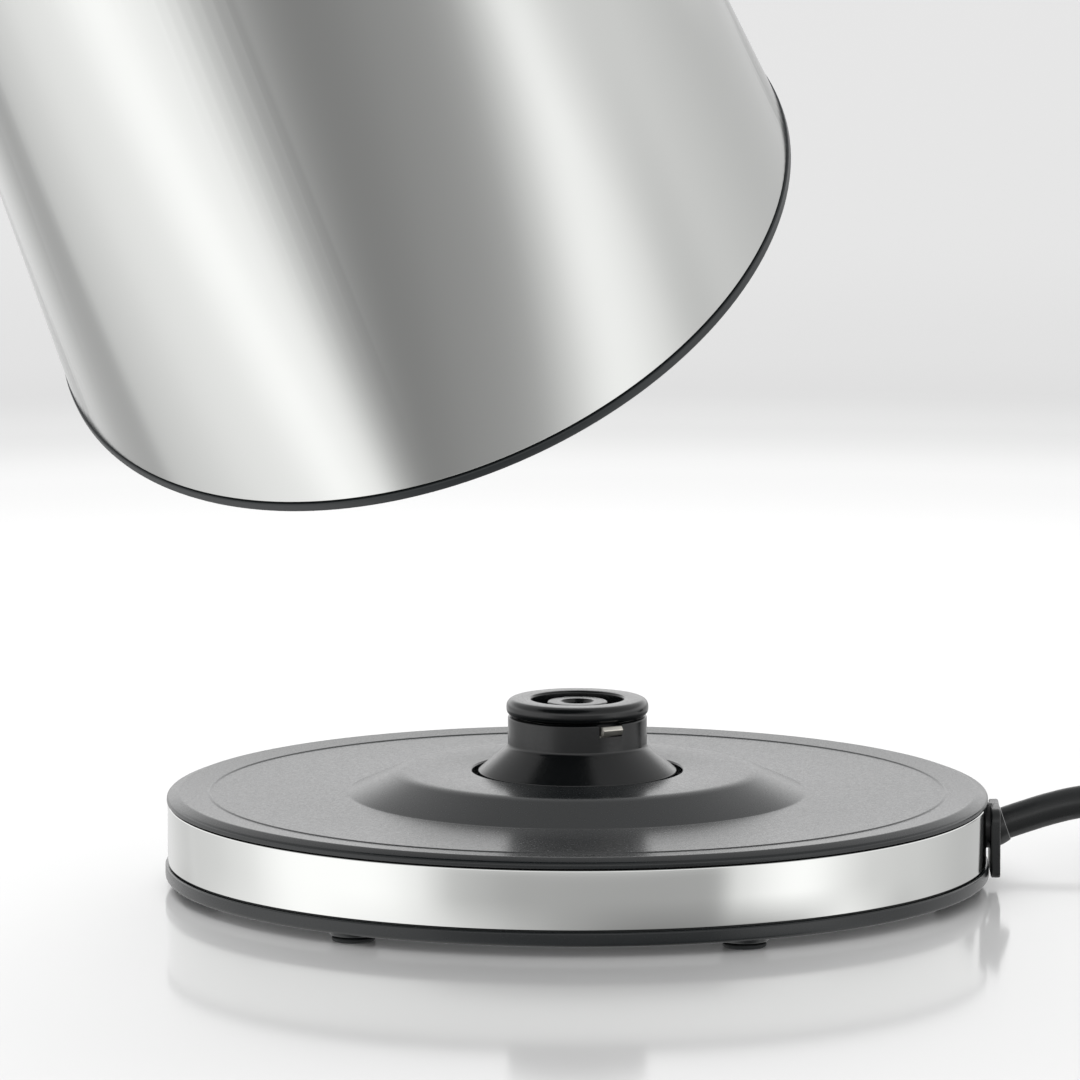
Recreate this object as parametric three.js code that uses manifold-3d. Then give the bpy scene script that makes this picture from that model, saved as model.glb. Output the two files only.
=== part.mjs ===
// A cordless electric kettle: a steel jug lifted off its round power base, tilted forward to pour.
// Millimetres, +Z up. The origin is on the base's axis, on its flat underside; the feet stand below it.
import * as THREE from "three";
import { mergeVertices } from "three/addons/utils/BufferGeometryUtils.js";
import Module from "manifold-3d";

const wasm = await Module();
wasm.setup();

// ---------- driving dimensions: the power base ----------
const GAP = 0.3; // between neighbouring pieces
const BASE_R = 82.5; // outside of the steel trim band
const BAND_WALL = 0.6;
const BAND_H = 12.0;
const LIP_H = 1.6; // thickness of the pan's visible lip
const LIP_OVERHANG = 0.5; // the lip beyond the band
const RIM_DROP = 1.3; // the rim below the underside
const PAN_FLOOR = 2.2;
const PAN_WALL = 2.0;
const PLATE_THICK = 2.2;
const PLATE_RISE = 1.9; // the cover's top face above the band
const SEAT_INSET = 8.5; // from the band in to the edge of the face that the jug stands on
const MOUND_FOOT_R = 46.2;
const MOUND_TOP_R = 36.0;
const MOUND_H = 4.5;
const MOUND_HOLE_R = 21.2;
const FOOT_COUNT = 6;
const FOOT_INSET = 5.5; // from the band in to the feet's ring
const FOOT_START_DEG = -5;
const FOOT_BOSS_R = 4.7;
const FOOT_BOSS_H = 2.2;
const FOOT_PAD_R = 4.3;
const FOOT_DROP = 3.3; // feet below the underside
const BASE_SCREW_RING_R = 58;
const BASE_SCREW_WELL_H = 4.6; // above the pan's floor
const SCREW_SEAT = 1.8; // material under a screw's head
const BASE_SCREW_COUNT = 3;
const SCREW_HEAD_R = 3.4;
const SCREW_HEAD_H = 2.0;
const SCREW_R = 1.4;
const SCREW_CLEAR = 0.4; // hole beyond the screw, each side

// ---------- driving dimensions: the connector in the middle of the base ----------
const SKIRT_R = 20.0; // foot of the conical skirt
const SKIRT_H = 5.1;
const POST_R = 14.0;
const POST_H = 5.9; // straight part of the post above its skirt
const POST_WALL = 2.0;
const POST_FLANGE_R = 26.0;
const CAP_OVERHANG = 0.3;
const CAP_H = 3.3;
const CAP_OPENING_R = 9.3;
const BUSH_R = 6.1;
const BUSH_BORE_R = 2.7;
const BUSH_STEM_R = 4.4;
const SHUTTER_TRAVEL = 4.0;
const SHUTTER_THICK = 1.6;
const CLIP_ANGLE_DEG = -61;
const CLIP_W = 4.6;
const CLIP_PROUD = 0.9; // its nose beyond the post

// ---------- driving dimensions: the mains lead ----------
const CORD_R = 3.3;
const CORD_SIDES = 8;
const COIL_R = 33.2; // to the middle of its turns
const COIL_TURNS = 3.25;
const COIL_SPARE = 0.1; // between one turn and the next
const COIL_FROM_FLANGE = 66.9; // to the coil's centre
const FLANGE_W = 17;
const FLANGE_THICK = 1.9;
const FLANGE_BOTTOM = -0.6;
const FLANGE_TOP = 13.2;
const GLAND_NECK_WALL = 1.3;
const GLAND_NECK_L = 10;
const CORD_RISE_DEG = 19; // its slope where it leaves the gland's shoulder
// The lead's points on its way down to the surface: X beyond the flange, and Z from where it comes out.
const LEAD_POINTS = [
  [6.9, 1.25],
  [12.4, 2.95],
  [18.2, 4.25],
  [24.9, 4.95],
  [31.9, 4.25],
  [37.9, 2.25],
  [43.4, -0.65],
];
const PLUG_FACE_R = 18.5;
const PLUG_BODY = 38;
const PLUG_RELIEF = 24;
const PIN_R = 2.4;
const PIN_L = 19;
const PIN_SPACING = 19;

// ---------- driving dimensions: the jug, in its own frame ----------
const JUG_R = 75.15; // at the standing ring
const TAPER = Math.tan(THREE.MathUtils.degToRad(3.72));
const RING_H = 2.0; // plastic ring that shows below the steel
const BODY_TOP = 178;
const BODY_WALL = 0.5;
const COVER_Z = 6.0; // underside recess above the standing ring
const COVER_THICK = 2.2;
const SOCKET_CLEAR = 2.7; // socket beyond the connector's cap
const SOCKET_MOUTH_CLEAR = 2.6; // its mouth beyond the connector's skirt
const SOCKET_HEADROOM = 2.0; // above the cap when the jug is seated
const SOCKET_WALL = 1.8;
const CENTRE_PIN_R = 1.3;
const CENTRE_PIN_L = 8.2;
const ELEMENT_Z = 34; // water side of the heated floor
const ELEMENT_THICK = 0.8;
const HEATER_RING_R = 38;
const HEATER_TUBE_R = 3.4;
const SPREADER_R = 44;
const SPREADER_THICK = 2.4;
const SPOUT_INSET = 17.43; // the spout's axis in from the jug's wall, at the top
const SPOUT_TOP_R = 34;
const SPOUT_FALL = 0.33; // radius lost for each millimetre down
const SPOUT_WALL = 0.7;
const COLLAR_H = 9.7;
const COLLAR_IN_R = 56;
const LID_CLEAR = 0.6;
const LID_DOME = 6.5;
const LID_WALL = 0.9;
const HINGE_OUT = 4.5; // the pin beyond the collar's opening
const HINGE_RISE = 4.2; // pin above the collar
const HANDLE_W = 27;
const HANDLE_THICK = 17;
const HANDLE_WALL = 3.0;
const BUTTON_W = 17;
const BUTTON_TRAVEL = 4.0;
const BUTTON_REACH = 15.77; // its middle beyond the collar
const HOUSING_W = 24;
const LEVER_W = 17;
const LEVER_OUT = 7.73; // its pin beyond the jug's wall
const WINDOW_W = 11.4;
const WINDOW_LOW = 52;
const WINDOW_TO_TOP = 30; // from its upper end to the steel's top
const STUD_INSET = 19.15; // the underside screws' ring in from the standing ring

// ---------- how the jug is held ----------
const TILT_DEG = 36.28; // forward, towards the spout
const TILT_TOWARDS_DEG = 238.26; // compass of the spout, from +X
const HOLD_FORWARD = 56.8; // jug's foot in front of the base's axis
const HOLD_HEIGHT = 131.6; // jug's foot above the origin

// ---------- how finely round shapes are cut ----------
const WIDE = 40; // sides of the base and the jug
const MIDDLE = 24; // sides of the connector, socket and plug
const SMALL = 12; // sides of screws, feet and pins

// ---------- materials ----------
const finish = (color, roughness, metalness = 0) =>
  new THREE.MeshStandardMaterial({ color, roughness, metalness });
const STEEL = finish("#c9cac8", 0.28, 1);
const BLACK_PLASTIC = finish("#2e3335", 0.42);
const SOFT_BLACK = finish("#1d2021", 0.6);
const RUBBER = finish("#151718", 0.85);
const BRASS = finish("#c9a44c", 0.3, 1);
const ALUMINIUM = finish("#b9bcbd", 0.45, 1);
const SPRING_STEEL = finish("#9da1a3", 0.35, 1);
const NATURAL_PLASTIC = finish("#d8d6cf", 0.5);
const CLEAR = finish("#cfd8dc", 0.1);
const AMBER = finish("#c2452c", 0.25);
const BROWN = finish("#5b3a24", 0.5);
const BLUE = finish("#2d5d9c", 0.5);

// ---------- shape helpers ----------
const rad = THREE.MathUtils.degToRad;
const V2 = (x, y) => new THREE.Vector2(x, y);
const V3 = (x, y, z) => new THREE.Vector3(x, y, z);

// A closed geometry with shared vertices, no empty triangles and faces that point out.
function closed(geometry) {
  const g = new THREE.BufferGeometry();
  g.setAttribute("position", geometry.getAttribute("position"));
  g.setIndex(geometry.index);
  const merged = mergeVertices(g, 1e-4);
  const p = merged.getAttribute("position");
  const faces = [];
  let volume = 0;
  const [a, b, c] = [V3(0, 0, 0), V3(0, 0, 0), V3(0, 0, 0)];
  for (let i = 0; i < merged.index.count; i += 3) {
    const tri = [0, 1, 2].map((k) => merged.index.getX(i + k));
    if (new Set(tri).size < 3) continue;
    a.fromBufferAttribute(p, tri[0]);
    b.fromBufferAttribute(p, tri[1]);
    c.fromBufferAttribute(p, tri[2]);
    volume += a.dot(b.cross(c));
    faces.push(tri);
  }
  if (volume < 0) faces.forEach((tri) => tri.reverse());
  merged.setIndex(faces.flat());
  return merged;
}

const solid = (geometry) => {
  const g = closed(geometry);
  return new wasm.Manifold(
    new wasm.Mesh({
      numProp: 3,
      vertProperties: new Float32Array(g.getAttribute("position").array),
      triVerts: new Uint32Array(g.index.array),
    }),
  );
};

function geometryOf(body) {
  const m = body.getMesh();
  const g = new THREE.BufferGeometry();
  g.setAttribute("position", new THREE.BufferAttribute(m.vertProperties, 3));
  g.setIndex(new THREE.BufferAttribute(m.triVerts, 1));
  return g;
}

const cut = (first, ...tools) =>
  geometryOf(tools.reduce((s, t) => s.subtract(solid(t)), solid(first)));
const join = (first, ...more) => geometryOf(more.reduce((s, t) => s.add(solid(t)), solid(first)));
const overlap = (first, second) => geometryOf(solid(first).intersect(solid(second)));

// A profile of [radius, height] pairs turned about Z; a profile off the axis closes on itself.
function turned(profile, segments) {
  const onAxis = profile[0][0] === 0 && profile.at(-1)[0] === 0;
  const loop = onAxis ? profile : [...profile, profile[0]];
  const points = loop.map(([r, z]) => V2(r, z));
  const g = new THREE.LatheGeometry(points, segments);
  return closed(g.rotateX(Math.PI / 2));
}

const disc = (r, low, high, segments = SMALL) =>
  turned([[0, low], [r, low], [r, high], [0, high]], segments);
const sleeve = (inner, outer, low, high, segments = MIDDLE) =>
  turned([[inner, low], [outer, low], [outer, high], [inner, high]], segments);

const block = (x0, x1, y0, y1, z0, z1) =>
  new THREE.BoxGeometry(x1 - x0, y1 - y0, z1 - z0).translate(
    (x0 + x1) / 2,
    (y0 + y1) / 2,
    (z0 + z1) / 2,
  );

// An outline in the X-Z plane made a plate of the given width, centred on Y.
function plateXZ(shape, width, bevel = 0) {
  const depth = width - 2 * bevel;
  const options = {
    depth,
    bevelEnabled: bevel > 0,
    bevelSize: bevel,
    bevelThickness: bevel,
    bevelOffset: -bevel,
    bevelSegments: 1,
    curveSegments: 6,
  };
  const g = new THREE.ExtrudeGeometry(shape, options);
  return closed(g.rotateX(Math.PI / 2).translate(0, depth / 2, 0));
}

const outline = (points) => new THREE.Shape(points.map(([x, y]) => V2(x, y)));

// A round bar along a smooth curve through the points.
function bar(points, r, sides, steps) {
  const section = new THREE.Shape(
    Array.from({ length: sides }, (_, i) =>
      V2(r * Math.cos((2 * Math.PI * i) / sides), r * Math.sin((2 * Math.PI * i) / sides)),
    ),
  );
  const path = new THREE.CatmullRomCurve3(points.map((q) => V3(...q)));
  return closed(
    new THREE.ExtrudeGeometry(section, { steps, extrudePath: path, bevelEnabled: false }),
  );
}

const around = (r, deg, z = 0) => [r * Math.cos(rad(deg)), r * Math.sin(rad(deg)), z];

const kettle = new THREE.Group();
const jug = new THREE.Group();
function add(group, name, geometry, material) {
  const mesh = new THREE.Mesh(geometry, material);
  mesh.name = name;
  group.add(mesh);
}

// ---------- heights that follow from the driving dimensions ----------
const BAND_TOP = LIP_H + GAP + BAND_H;
const PLATE_Z = BAND_TOP + PLATE_RISE;
const MOUND_Z = PLATE_Z + MOUND_H;
const UNDER_PLATE = PLATE_Z - PLATE_THICK;
const POST_BASE_Z = MOUND_Z - 0.1;
const POST_Z = POST_BASE_Z + SKIRT_H;
const POST_TOP = POST_Z + POST_H;
const CAP_Z = POST_TOP + GAP;
const CAP_TOP = CAP_Z + CAP_H;
const SEAT_R = BASE_R - SEAT_INSET;
const EDGE_RISE = 0.4; // the plate's edge above its seat
const FOOT_RING_R = BASE_R - FOOT_INSET;
const FLANGE_X = BASE_R + 0.6; // back of the gland's flange
const GLAND_NECK_R = CORD_R + GLAND_NECK_WALL;
const CORD_Z = UNDER_PLATE - GLAND_NECK_R - 0.1; // height of the cord in the flange
const CORD_EXIT = [FLANGE_X + 3.2, CORD_Z + 0.45]; // X and Z where it leaves the gland's shoulder
const COIL_PITCH = 2 * CORD_R + COIL_SPARE;
const COIL_CENTRE = [FLANGE_X + COIL_FROM_FLANGE, COIL_R];
const SOCKET_R = POST_R + CAP_OVERHANG + SOCKET_CLEAR;
const SOCKET_MOUTH_R = SKIRT_R + SOCKET_MOUTH_CLEAR;
const SOCKET_TOP = CAP_TOP - (PLATE_Z + EDGE_RISE) + SOCKET_HEADROOM;
const HINGE_X = -COLLAR_IN_R - HINGE_OUT;

// ---------- the power base ----------
// The opening in the trim band where the lead comes out: wide and flared at the top, narrow below.
function portOutline(grow) {
  const half = FLANGE_W / 2 + grow;
  const wide = 20 + grow;
  const shape = new THREE.Shape();
  shape.moveTo(-half, -1);
  shape.lineTo(half, -1);
  shape.lineTo(half, BAND_H * 0.42);
  shape.quadraticCurveTo(half, BAND_H * 0.8, wide, BAND_TOP + 1);
  shape.lineTo(-wide, BAND_TOP + 1);
  shape.quadraticCurveTo(-half, BAND_H * 0.8, -half, BAND_H * 0.42);
  return shape;
}

function portBlock(grow) {
  const g = new THREE.ExtrudeGeometry(portOutline(grow), {
    depth: 12,
    bevelEnabled: false,
    curveSegments: 6,
  });
  return g.rotateX(Math.PI / 2).rotateZ(Math.PI / 2).translate(BASE_R - 9, 0, 0);
}

const bandInner = BASE_R - BAND_WALL;
const trimBand = cut(
  sleeve(bandInner, BASE_R, LIP_H + GAP, BAND_TOP, WIDE),
  portBlock(GAP),
);
add(kettle, "trim_band", trimBand, STEEL);

const panWallR = bandInner - GAP;
const panWallIn = panWallR - PAN_WALL;
const wellTop = PAN_FLOOR + BASE_SCREW_WELL_H;
const screwZ = wellTop - SCREW_SEAT;
const screwSpots = Array.from({ length: BASE_SCREW_COUNT }, (_, i) =>
  around(BASE_SCREW_RING_R, 90 + (360 / BASE_SCREW_COUNT) * i),
);
const footSpots = Array.from({ length: FOOT_COUNT }, (_, i) =>
  around(FOOT_RING_R, FOOT_START_DEG + (360 / FOOT_COUNT) * i),
);
const at = (geometry, [x, y]) => geometry.translate(x, y, 0);

function basePan() {
  const lipR = BASE_R + LIP_OVERHANG;
  const shell = turned(
    [
      [0, 0],
      [lipR - 3, 0],
      [lipR - 3, -RIM_DROP],
      [lipR - 0.8, -RIM_DROP],
      [lipR, 0.8 - RIM_DROP],
      [lipR, LIP_H],
      [panWallR, LIP_H],
      [panWallR, BAND_TOP],
      [panWallIn, BAND_TOP],
      [panWallIn, PAN_FLOOR],
      [0, PAN_FLOOR],
    ],
    WIDE,
  );
  const port = overlap(
    portBlock(0),
    sleeve(panWallIn, BASE_R - 0.2, LIP_H - 0.2, BAND_TOP, WIDE),
  );
  const wells = screwSpots.map((s) => at(disc(SCREW_HEAD_R + 2.2, PAN_FLOOR - 0.5, wellTop), s));
  const bosses = footSpots.map((s) => at(disc(FOOT_BOSS_R, -FOOT_BOSS_H, 0.5), s));
  const heads = screwSpots.map((s) => at(disc(SCREW_HEAD_R + SCREW_CLEAR, -1, screwZ), s));
  const shanks = screwSpots.map((s) => at(disc(SCREW_R + SCREW_CLEAR, -1, wellTop + 1), s));
  const boreR = GLAND_NECK_R + GAP;
  const bore = new THREE.CylinderGeometry(boreR, boreR, 16, SMALL);
  bore.rotateZ(Math.PI / 2).translate(BASE_R - 4, 0, CORD_Z);
  const flangeSeat = block(
    FLANGE_X - GAP,
    BASE_R + 5,
    -FLANGE_W / 2 - GAP,
    FLANGE_W / 2 + GAP,
    FLANGE_BOTTOM - 1,
    FLANGE_TOP + 1,
  );
  return cut(join(shell, port, ...wells, ...bosses), ...heads, ...shanks, bore, flangeSeat);
}
add(kettle, "base_pan", basePan(), BLACK_PLASTIC);

function baseCover() {
  const edgeR = BASE_R + 0.2;
  const shell = turned(
    [
      [MOUND_HOLE_R, MOUND_Z],
      [MOUND_TOP_R, MOUND_Z],
      [MOUND_FOOT_R, PLATE_Z],
      [SEAT_R, PLATE_Z],
      [BASE_R - 2.1, PLATE_Z + EDGE_RISE],
      [BASE_R - 0.7, PLATE_Z + 0.1],
      [edgeR, PLATE_Z - 0.8],
      [edgeR, BAND_TOP + GAP],
      [panWallIn - GAP, BAND_TOP + GAP],
      [panWallIn - GAP, UNDER_PLATE],
      [MOUND_FOOT_R - 1, UNDER_PLATE],
      [MOUND_TOP_R - 1, MOUND_Z - PLATE_THICK],
      [MOUND_HOLE_R, MOUND_Z - PLATE_THICK],
    ],
    WIDE,
  );
  const posts = screwSpots.map((s) =>
    at(disc(SCREW_HEAD_R + 0.8, wellTop + GAP, UNDER_PLATE + 0.5), s),
  );
  const pilots = screwSpots.map((s) =>
    at(disc(SCREW_R + GAP, wellTop - 1, UNDER_PLATE - 0.8), s),
  );
  return cut(join(shell, ...posts), ...pilots);
}
add(kettle, "base_cover", baseCover(), BLACK_PLASTIC);

screwSpots.forEach((s, i) => {
  const screw = turned(
    [
      [0, screwZ - GAP - SCREW_HEAD_H],
      [SCREW_HEAD_R, screwZ - GAP - SCREW_HEAD_H + 0.4],
      [SCREW_HEAD_R, screwZ - GAP],
      [SCREW_R, screwZ - GAP],
      [SCREW_R, UNDER_PLATE - 2],
      [0, UNDER_PLATE - 1.4],
    ],
    SMALL,
  );
  add(kettle, `base_screw_${i + 1}`, at(screw, s), SPRING_STEEL);
});

footSpots.forEach((s, i) => {
  const pad = turned(
    [
      [0, -FOOT_DROP],
      [FOOT_PAD_R - 0.3, -FOOT_DROP],
      [FOOT_PAD_R, -FOOT_DROP + 0.3],
      [FOOT_PAD_R, -FOOT_BOSS_H - GAP],
      [0, -FOOT_BOSS_H - GAP],
    ],
    SMALL,
  );
  add(kettle, `foot_pad_${i + 1}`, at(pad, s), RUBBER);
});

// ---------- the connector ----------
const flangeTop = MOUND_Z - PLATE_THICK - GAP;
const flangeLow = flangeTop - 2.2;
const bushBoreR = BUSH_STEM_R + GAP;
const columnR = bushBoreR + 1.6;
const columnTop = CAP_TOP - 2.9;
const wellR = POST_R - POST_WALL;

function connectorBody() {
  const shell = turned(
    [
      [bushBoreR, flangeLow],
      [POST_FLANGE_R, flangeLow],
      [POST_FLANGE_R, flangeTop],
      [MOUND_HOLE_R - 1.2, flangeTop],
      [SKIRT_R, POST_BASE_Z],
      [POST_R, POST_Z],
      [POST_R, POST_TOP],
      [wellR, POST_TOP],
      [wellR, flangeLow + 2.4],
      [columnR, flangeLow + 2.4],
      [columnR, columnTop],
      [bushBoreR, columnTop],
    ],
    MIDDLE,
  );
  const half = CLIP_W / 2 + GAP;
  const slot = block(wellR - 1, POST_R + 1, -half, half, POST_TOP - 2.4, POST_TOP + 1);
  return cut(shell, slot.rotateZ(rad(CLIP_ANGLE_DEG)));
}
add(kettle, "connector_body", connectorBody(), BLACK_PLASTIC);

const capR = POST_R + CAP_OVERHANG;
const connectorCap = turned(
  [
    [CAP_OPENING_R, CAP_Z],
    [capR, CAP_Z],
    [capR, CAP_TOP - 1.5],
    [capR - 1.5, CAP_TOP],
    [CAP_OPENING_R, CAP_TOP],
  ],
  MIDDLE,
);
add(kettle, "connector_cap", connectorCap, BLACK_PLASTIC);

const swivelBush = turned(
  [
    [BUSH_BORE_R, POST_Z - 4],
    [BUSH_STEM_R, POST_Z - 4],
    [BUSH_STEM_R, columnTop + GAP],
    [BUSH_R, columnTop + GAP],
    [BUSH_R, CAP_TOP - 0.6],
    [BUSH_BORE_R, CAP_TOP - 0.6],
  ],
  MIDDLE,
);
add(kettle, "swivel_bush", swivelBush, BLACK_PLASTIC);

const shutterTop = CAP_Z - GAP;
const shutterLow = shutterTop - SHUTTER_THICK;
const shutterInR = columnR + 0.5;
const shutterOutR = wellR - 0.5;
add(
  kettle,
  "shutter_ring",
  sleeve(shutterInR, shutterOutR, shutterLow, shutterTop),
  SOFT_BLACK,
);

const wellFloor = flangeLow + 2.4 + GAP;
const contactH = shutterLow - SHUTTER_TRAVEL - GAP - wellFloor;
const springMidR = (shutterInR + shutterOutR) / 2;
add(
  kettle,
  "shutter_spring",
  sleeve(springMidR - 0.4, springMidR + 0.4, wellFloor, shutterLow - GAP),
  SPRING_STEEL,
);
add(
  kettle,
  "inner_contact_ring",
  sleeve(shutterInR - 0.2, springMidR - 0.4 - GAP, wellFloor, wellFloor + contactH),
  BRASS,
);
add(
  kettle,
  "outer_contact_ring",
  sleeve(springMidR + 0.4 + GAP, wellR - 1.2, wellFloor, wellFloor + contactH),
  BRASS,
);

// The earth contact: a bent strip standing against the post's inner wall, its nose in the slot.
const clipX = wellR - GAP;
const clipNose = outline([
  [clipX - 0.5, wellFloor],
  [clipX, wellFloor],
  [clipX, POST_TOP - 1.7],
  [POST_R + CLIP_PROUD - 0.4, POST_TOP - 2.0],
  [POST_R + CLIP_PROUD, POST_TOP - 0.9],
  [POST_R - 0.5, POST_TOP - 0.5],
  [clipX - 0.5, POST_TOP - 0.9],
]);
add(
  kettle,
  "contact_clip",
  cut(
    plateXZ(clipNose, CLIP_W - 0.2).rotateZ(rad(CLIP_ANGLE_DEG)),
    disc(shutterOutR + 0.2, shutterLow - SHUTTER_TRAVEL - 1, CAP_Z + 1, MIDDLE),
  ),
  SPRING_STEEL,
);

// ---------- the mains lead ----------
function cordGland() {
  const flange = new THREE.Shape();
  const half = FLANGE_W / 2;
  const corner = 2.5;
  flange.moveTo(-half, FLANGE_BOTTOM);
  flange.lineTo(half, FLANGE_BOTTOM);
  flange.lineTo(half, FLANGE_TOP - corner);
  flange.quadraticCurveTo(half, FLANGE_TOP, half - corner, FLANGE_TOP);
  flange.lineTo(-half + corner, FLANGE_TOP);
  flange.quadraticCurveTo(-half, FLANGE_TOP, -half, FLANGE_TOP - corner);
  const plate = new THREE.ExtrudeGeometry(flange, {
    depth: FLANGE_THICK,
    bevelEnabled: false,
    curveSegments: 4,
  });
  plate.rotateX(Math.PI / 2).rotateZ(Math.PI / 2).translate(FLANGE_X, 0, 0);
  const neck = new THREE.CylinderGeometry(GLAND_NECK_R, GLAND_NECK_R, GLAND_NECK_L, SMALL);
  neck.rotateZ(Math.PI / 2).translate(FLANGE_X + 0.5 - GLAND_NECK_L / 2, 0, CORD_Z);
  const shoulderL = 4;
  const shoulder = new THREE.CylinderGeometry(CORD_R + 0.2, CORD_R + 0.8, shoulderL, MIDDLE);
  shoulder.translate(0, -shoulderL / 2 - GAP, 0).rotateZ(-Math.PI / 2);
  shoulder.rotateY(-rad(CORD_RISE_DEG)).translate(CORD_EXIT[0], 0, CORD_EXIT[1]);
  return join(plate, neck, shoulder);
}
add(kettle, "cord_gland", cordGland(), SOFT_BLACK);

const wireStart = FLANGE_X + 0.5 - GLAND_NECK_L - GAP;
const wireEndZ = flangeLow - GAP;
[
  ["wire_brown", BROWN, -1.6],
  ["wire_blue", BLUE, 1.6],
].forEach(([name, material, side]) => {
  const route = [
    [wireStart, side, CORD_Z],
    [wireStart - 12, side * 2.4, CORD_Z - 1],
    [POST_FLANGE_R + 8, side * 5, CORD_Z - 3],
    [shutterOutR + 2, side * 4, CORD_Z - 2],
    [springMidR, side * 3, CORD_Z + 1.6],
    [springMidR, side * 3, wireEndZ],
  ];
  add(kettle, name, bar(route, 1.2, 6, 12), material);
});

// The lead rises out of the flange, arches over and comes down to the surface it stands on.
const cordFloor = CORD_R - FOOT_DROP;
const leadRoute = [
  [CORD_EXIT[0], 0, CORD_EXIT[1]],
  ...LEAD_POINTS.map(([x, z]) => [FLANGE_X + x, 0, CORD_EXIT[1] + z]),
];
add(kettle, "mains_cord", bar(leadRoute, CORD_R, CORD_SIDES, 12), SOFT_BLACK);

// The rest of it is a neat stack of turns.
const coilTop = cordFloor + COIL_TURNS * COIL_PITCH + CORD_R;
const coilHalf = CORD_R + GAP;
const coil = sleeve(COIL_R - coilHalf, COIL_R + coilHalf, -FOOT_DROP, coilTop);
add(kettle, "cord_coil", coil.translate(...COIL_CENTRE, 0), SOFT_BLACK);

// Its end leaves the top turn and runs into the plug that lies beside the coil.
const plugX = COIL_CENTRE[0] + COIL_R + 2.5;
const plugZ = PLUG_FACE_R - FOOT_DROP;
const plugY = COIL_CENTRE[1] + 40;
const endRoute = [
  [plugX - 1.2, plugY - 15, cordFloor + COIL_TURNS * COIL_PITCH - 2.9],
  [plugX - 0.3, plugY - 8, plugZ + 0.8],
  [plugX, plugY - 3, plugZ],
  [plugX, plugY - GAP, plugZ],
];
add(kettle, "cord_end", bar(endRoute, CORD_R, CORD_SIDES, 4), SOFT_BLACK);

const plugBody = turned(
  [
    [0, 0],
    [CORD_R + 0.9, 0],
    [CORD_R + 2.6, PLUG_RELIEF - 2],
    [9.5, PLUG_RELIEF],
    [12.5, PLUG_RELIEF + 6],
    [12.0, PLUG_RELIEF + 18],
    [PLUG_FACE_R, PLUG_RELIEF + 27],
    [PLUG_FACE_R, PLUG_RELIEF + PLUG_BODY],
    [0, PLUG_RELIEF + PLUG_BODY],
  ],
  MIDDLE,
);
const layPlug = (g) => g.rotateX(-Math.PI / 2).translate(plugX, plugY, plugZ);
add(kettle, "plug_body", layPlug(plugBody), SOFT_BLACK);
[-1, 1].forEach((side, i) => {
  const foot = PLUG_RELIEF + PLUG_BODY + GAP;
  const pin = turned(
    [
      [0, foot],
      [PIN_R, foot],
      [PIN_R, foot + PIN_L - 1.5],
      [PIN_R - 1.3, foot + PIN_L],
      [0, foot + PIN_L],
    ],
    SMALL,
  ).translate((side * PIN_SPACING) / 2, 0, 0);
  add(kettle, `plug_pin_${i + 1}`, layPlug(pin), SPRING_STEEL);
});

// ---------- the jug: its own frame has +Z up its axis and +X towards the spout ----------
const bodyR = (z) => JUG_R - 0.15 - TAPER * z;
const bodyIn = (z) => bodyR(z) - BODY_WALL;
const bodyLow = RING_H + GAP;

// A solid of the jug's outer shape, grown by a distance, to trim what meets the wall.
const bodySolid = (grow, low = -5, high = BODY_TOP + 30) =>
  turned([[0, low], [bodyR(low) + grow, low], [bodyR(high) + grow, high], [0, high]], WIDE);

const spoutX = bodyR(BODY_TOP) - SPOUT_INSET;
const spoutR = (z) => SPOUT_TOP_R - SPOUT_FALL * (BODY_TOP - z);
const spoutLow = BODY_TOP - 62;
const spoutCone = (shrink, low, high) =>
  turned(
    [
      [0, low],
      [spoutR(low) - shrink, low],
      [spoutR(high) - shrink, high],
      [0, high],
    ],
    MIDDLE,
  ).translate(spoutX, 0, 0);

const rodZ = 14.6;
const rodH = 2.2;
const windowHigh = BODY_TOP - WINDOW_TO_TOP;
const throughWall = [-JUG_R - 15, -JUG_R + 35]; // X of what is cut through the wall behind
const windowBox = (grow) =>
  block(
    ...throughWall,
    -WINDOW_W / 2 - grow,
    WINDOW_W / 2 + grow,
    WINDOW_LOW - grow,
    windowHigh + grow,
  );

function jugBody() {
  const shell = turned(
    [
      [bodyIn(bodyLow), bodyLow],
      [bodyR(bodyLow), bodyLow],
      [bodyR(BODY_TOP), BODY_TOP],
      [bodyIn(BODY_TOP), BODY_TOP],
    ],
    WIDE,
  );
  const rodHole = block(...throughWall, -4, 4, rodZ - 1, rodZ + rodH + 1);
  const mouth = spoutCone(SPOUT_WALL + 1, spoutLow + 22, BODY_TOP - 2);
  return cut(shell, mouth, windowBox(GAP), rodHole);
}
add(jug, "jug_body", jugBody(), STEEL);

function levelWindow() {
  const strip = (low, high, inner, outer) =>
    turned(
      [
        [inner(low), low],
        [outer(low), low],
        [outer(high), high],
        [inner(high), high],
      ],
      WIDE,
    );
  const pane = overlap(
    strip(WINDOW_LOW, windowHigh, (z) => bodyIn(z) - 1, (z) => bodyR(z) - 0.1),
    windowBox(0),
  );
  const rim = overlap(
    strip(WINDOW_LOW - 3, windowHigh + 3, (z) => bodyIn(z) - 2.4, (z) => bodyIn(z) - GAP),
    windowBox(3),
  );
  return join(pane, rim);
}
add(jug, "level_window", levelWindow(), CLEAR);

const socketHoleR = SOCKET_MOUTH_R + SOCKET_WALL + 1.2;
const undersideScrews = [0, 120, 240].map((deg) => around(JUG_R - STUD_INSET, deg));
const studLow = 14;

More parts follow.
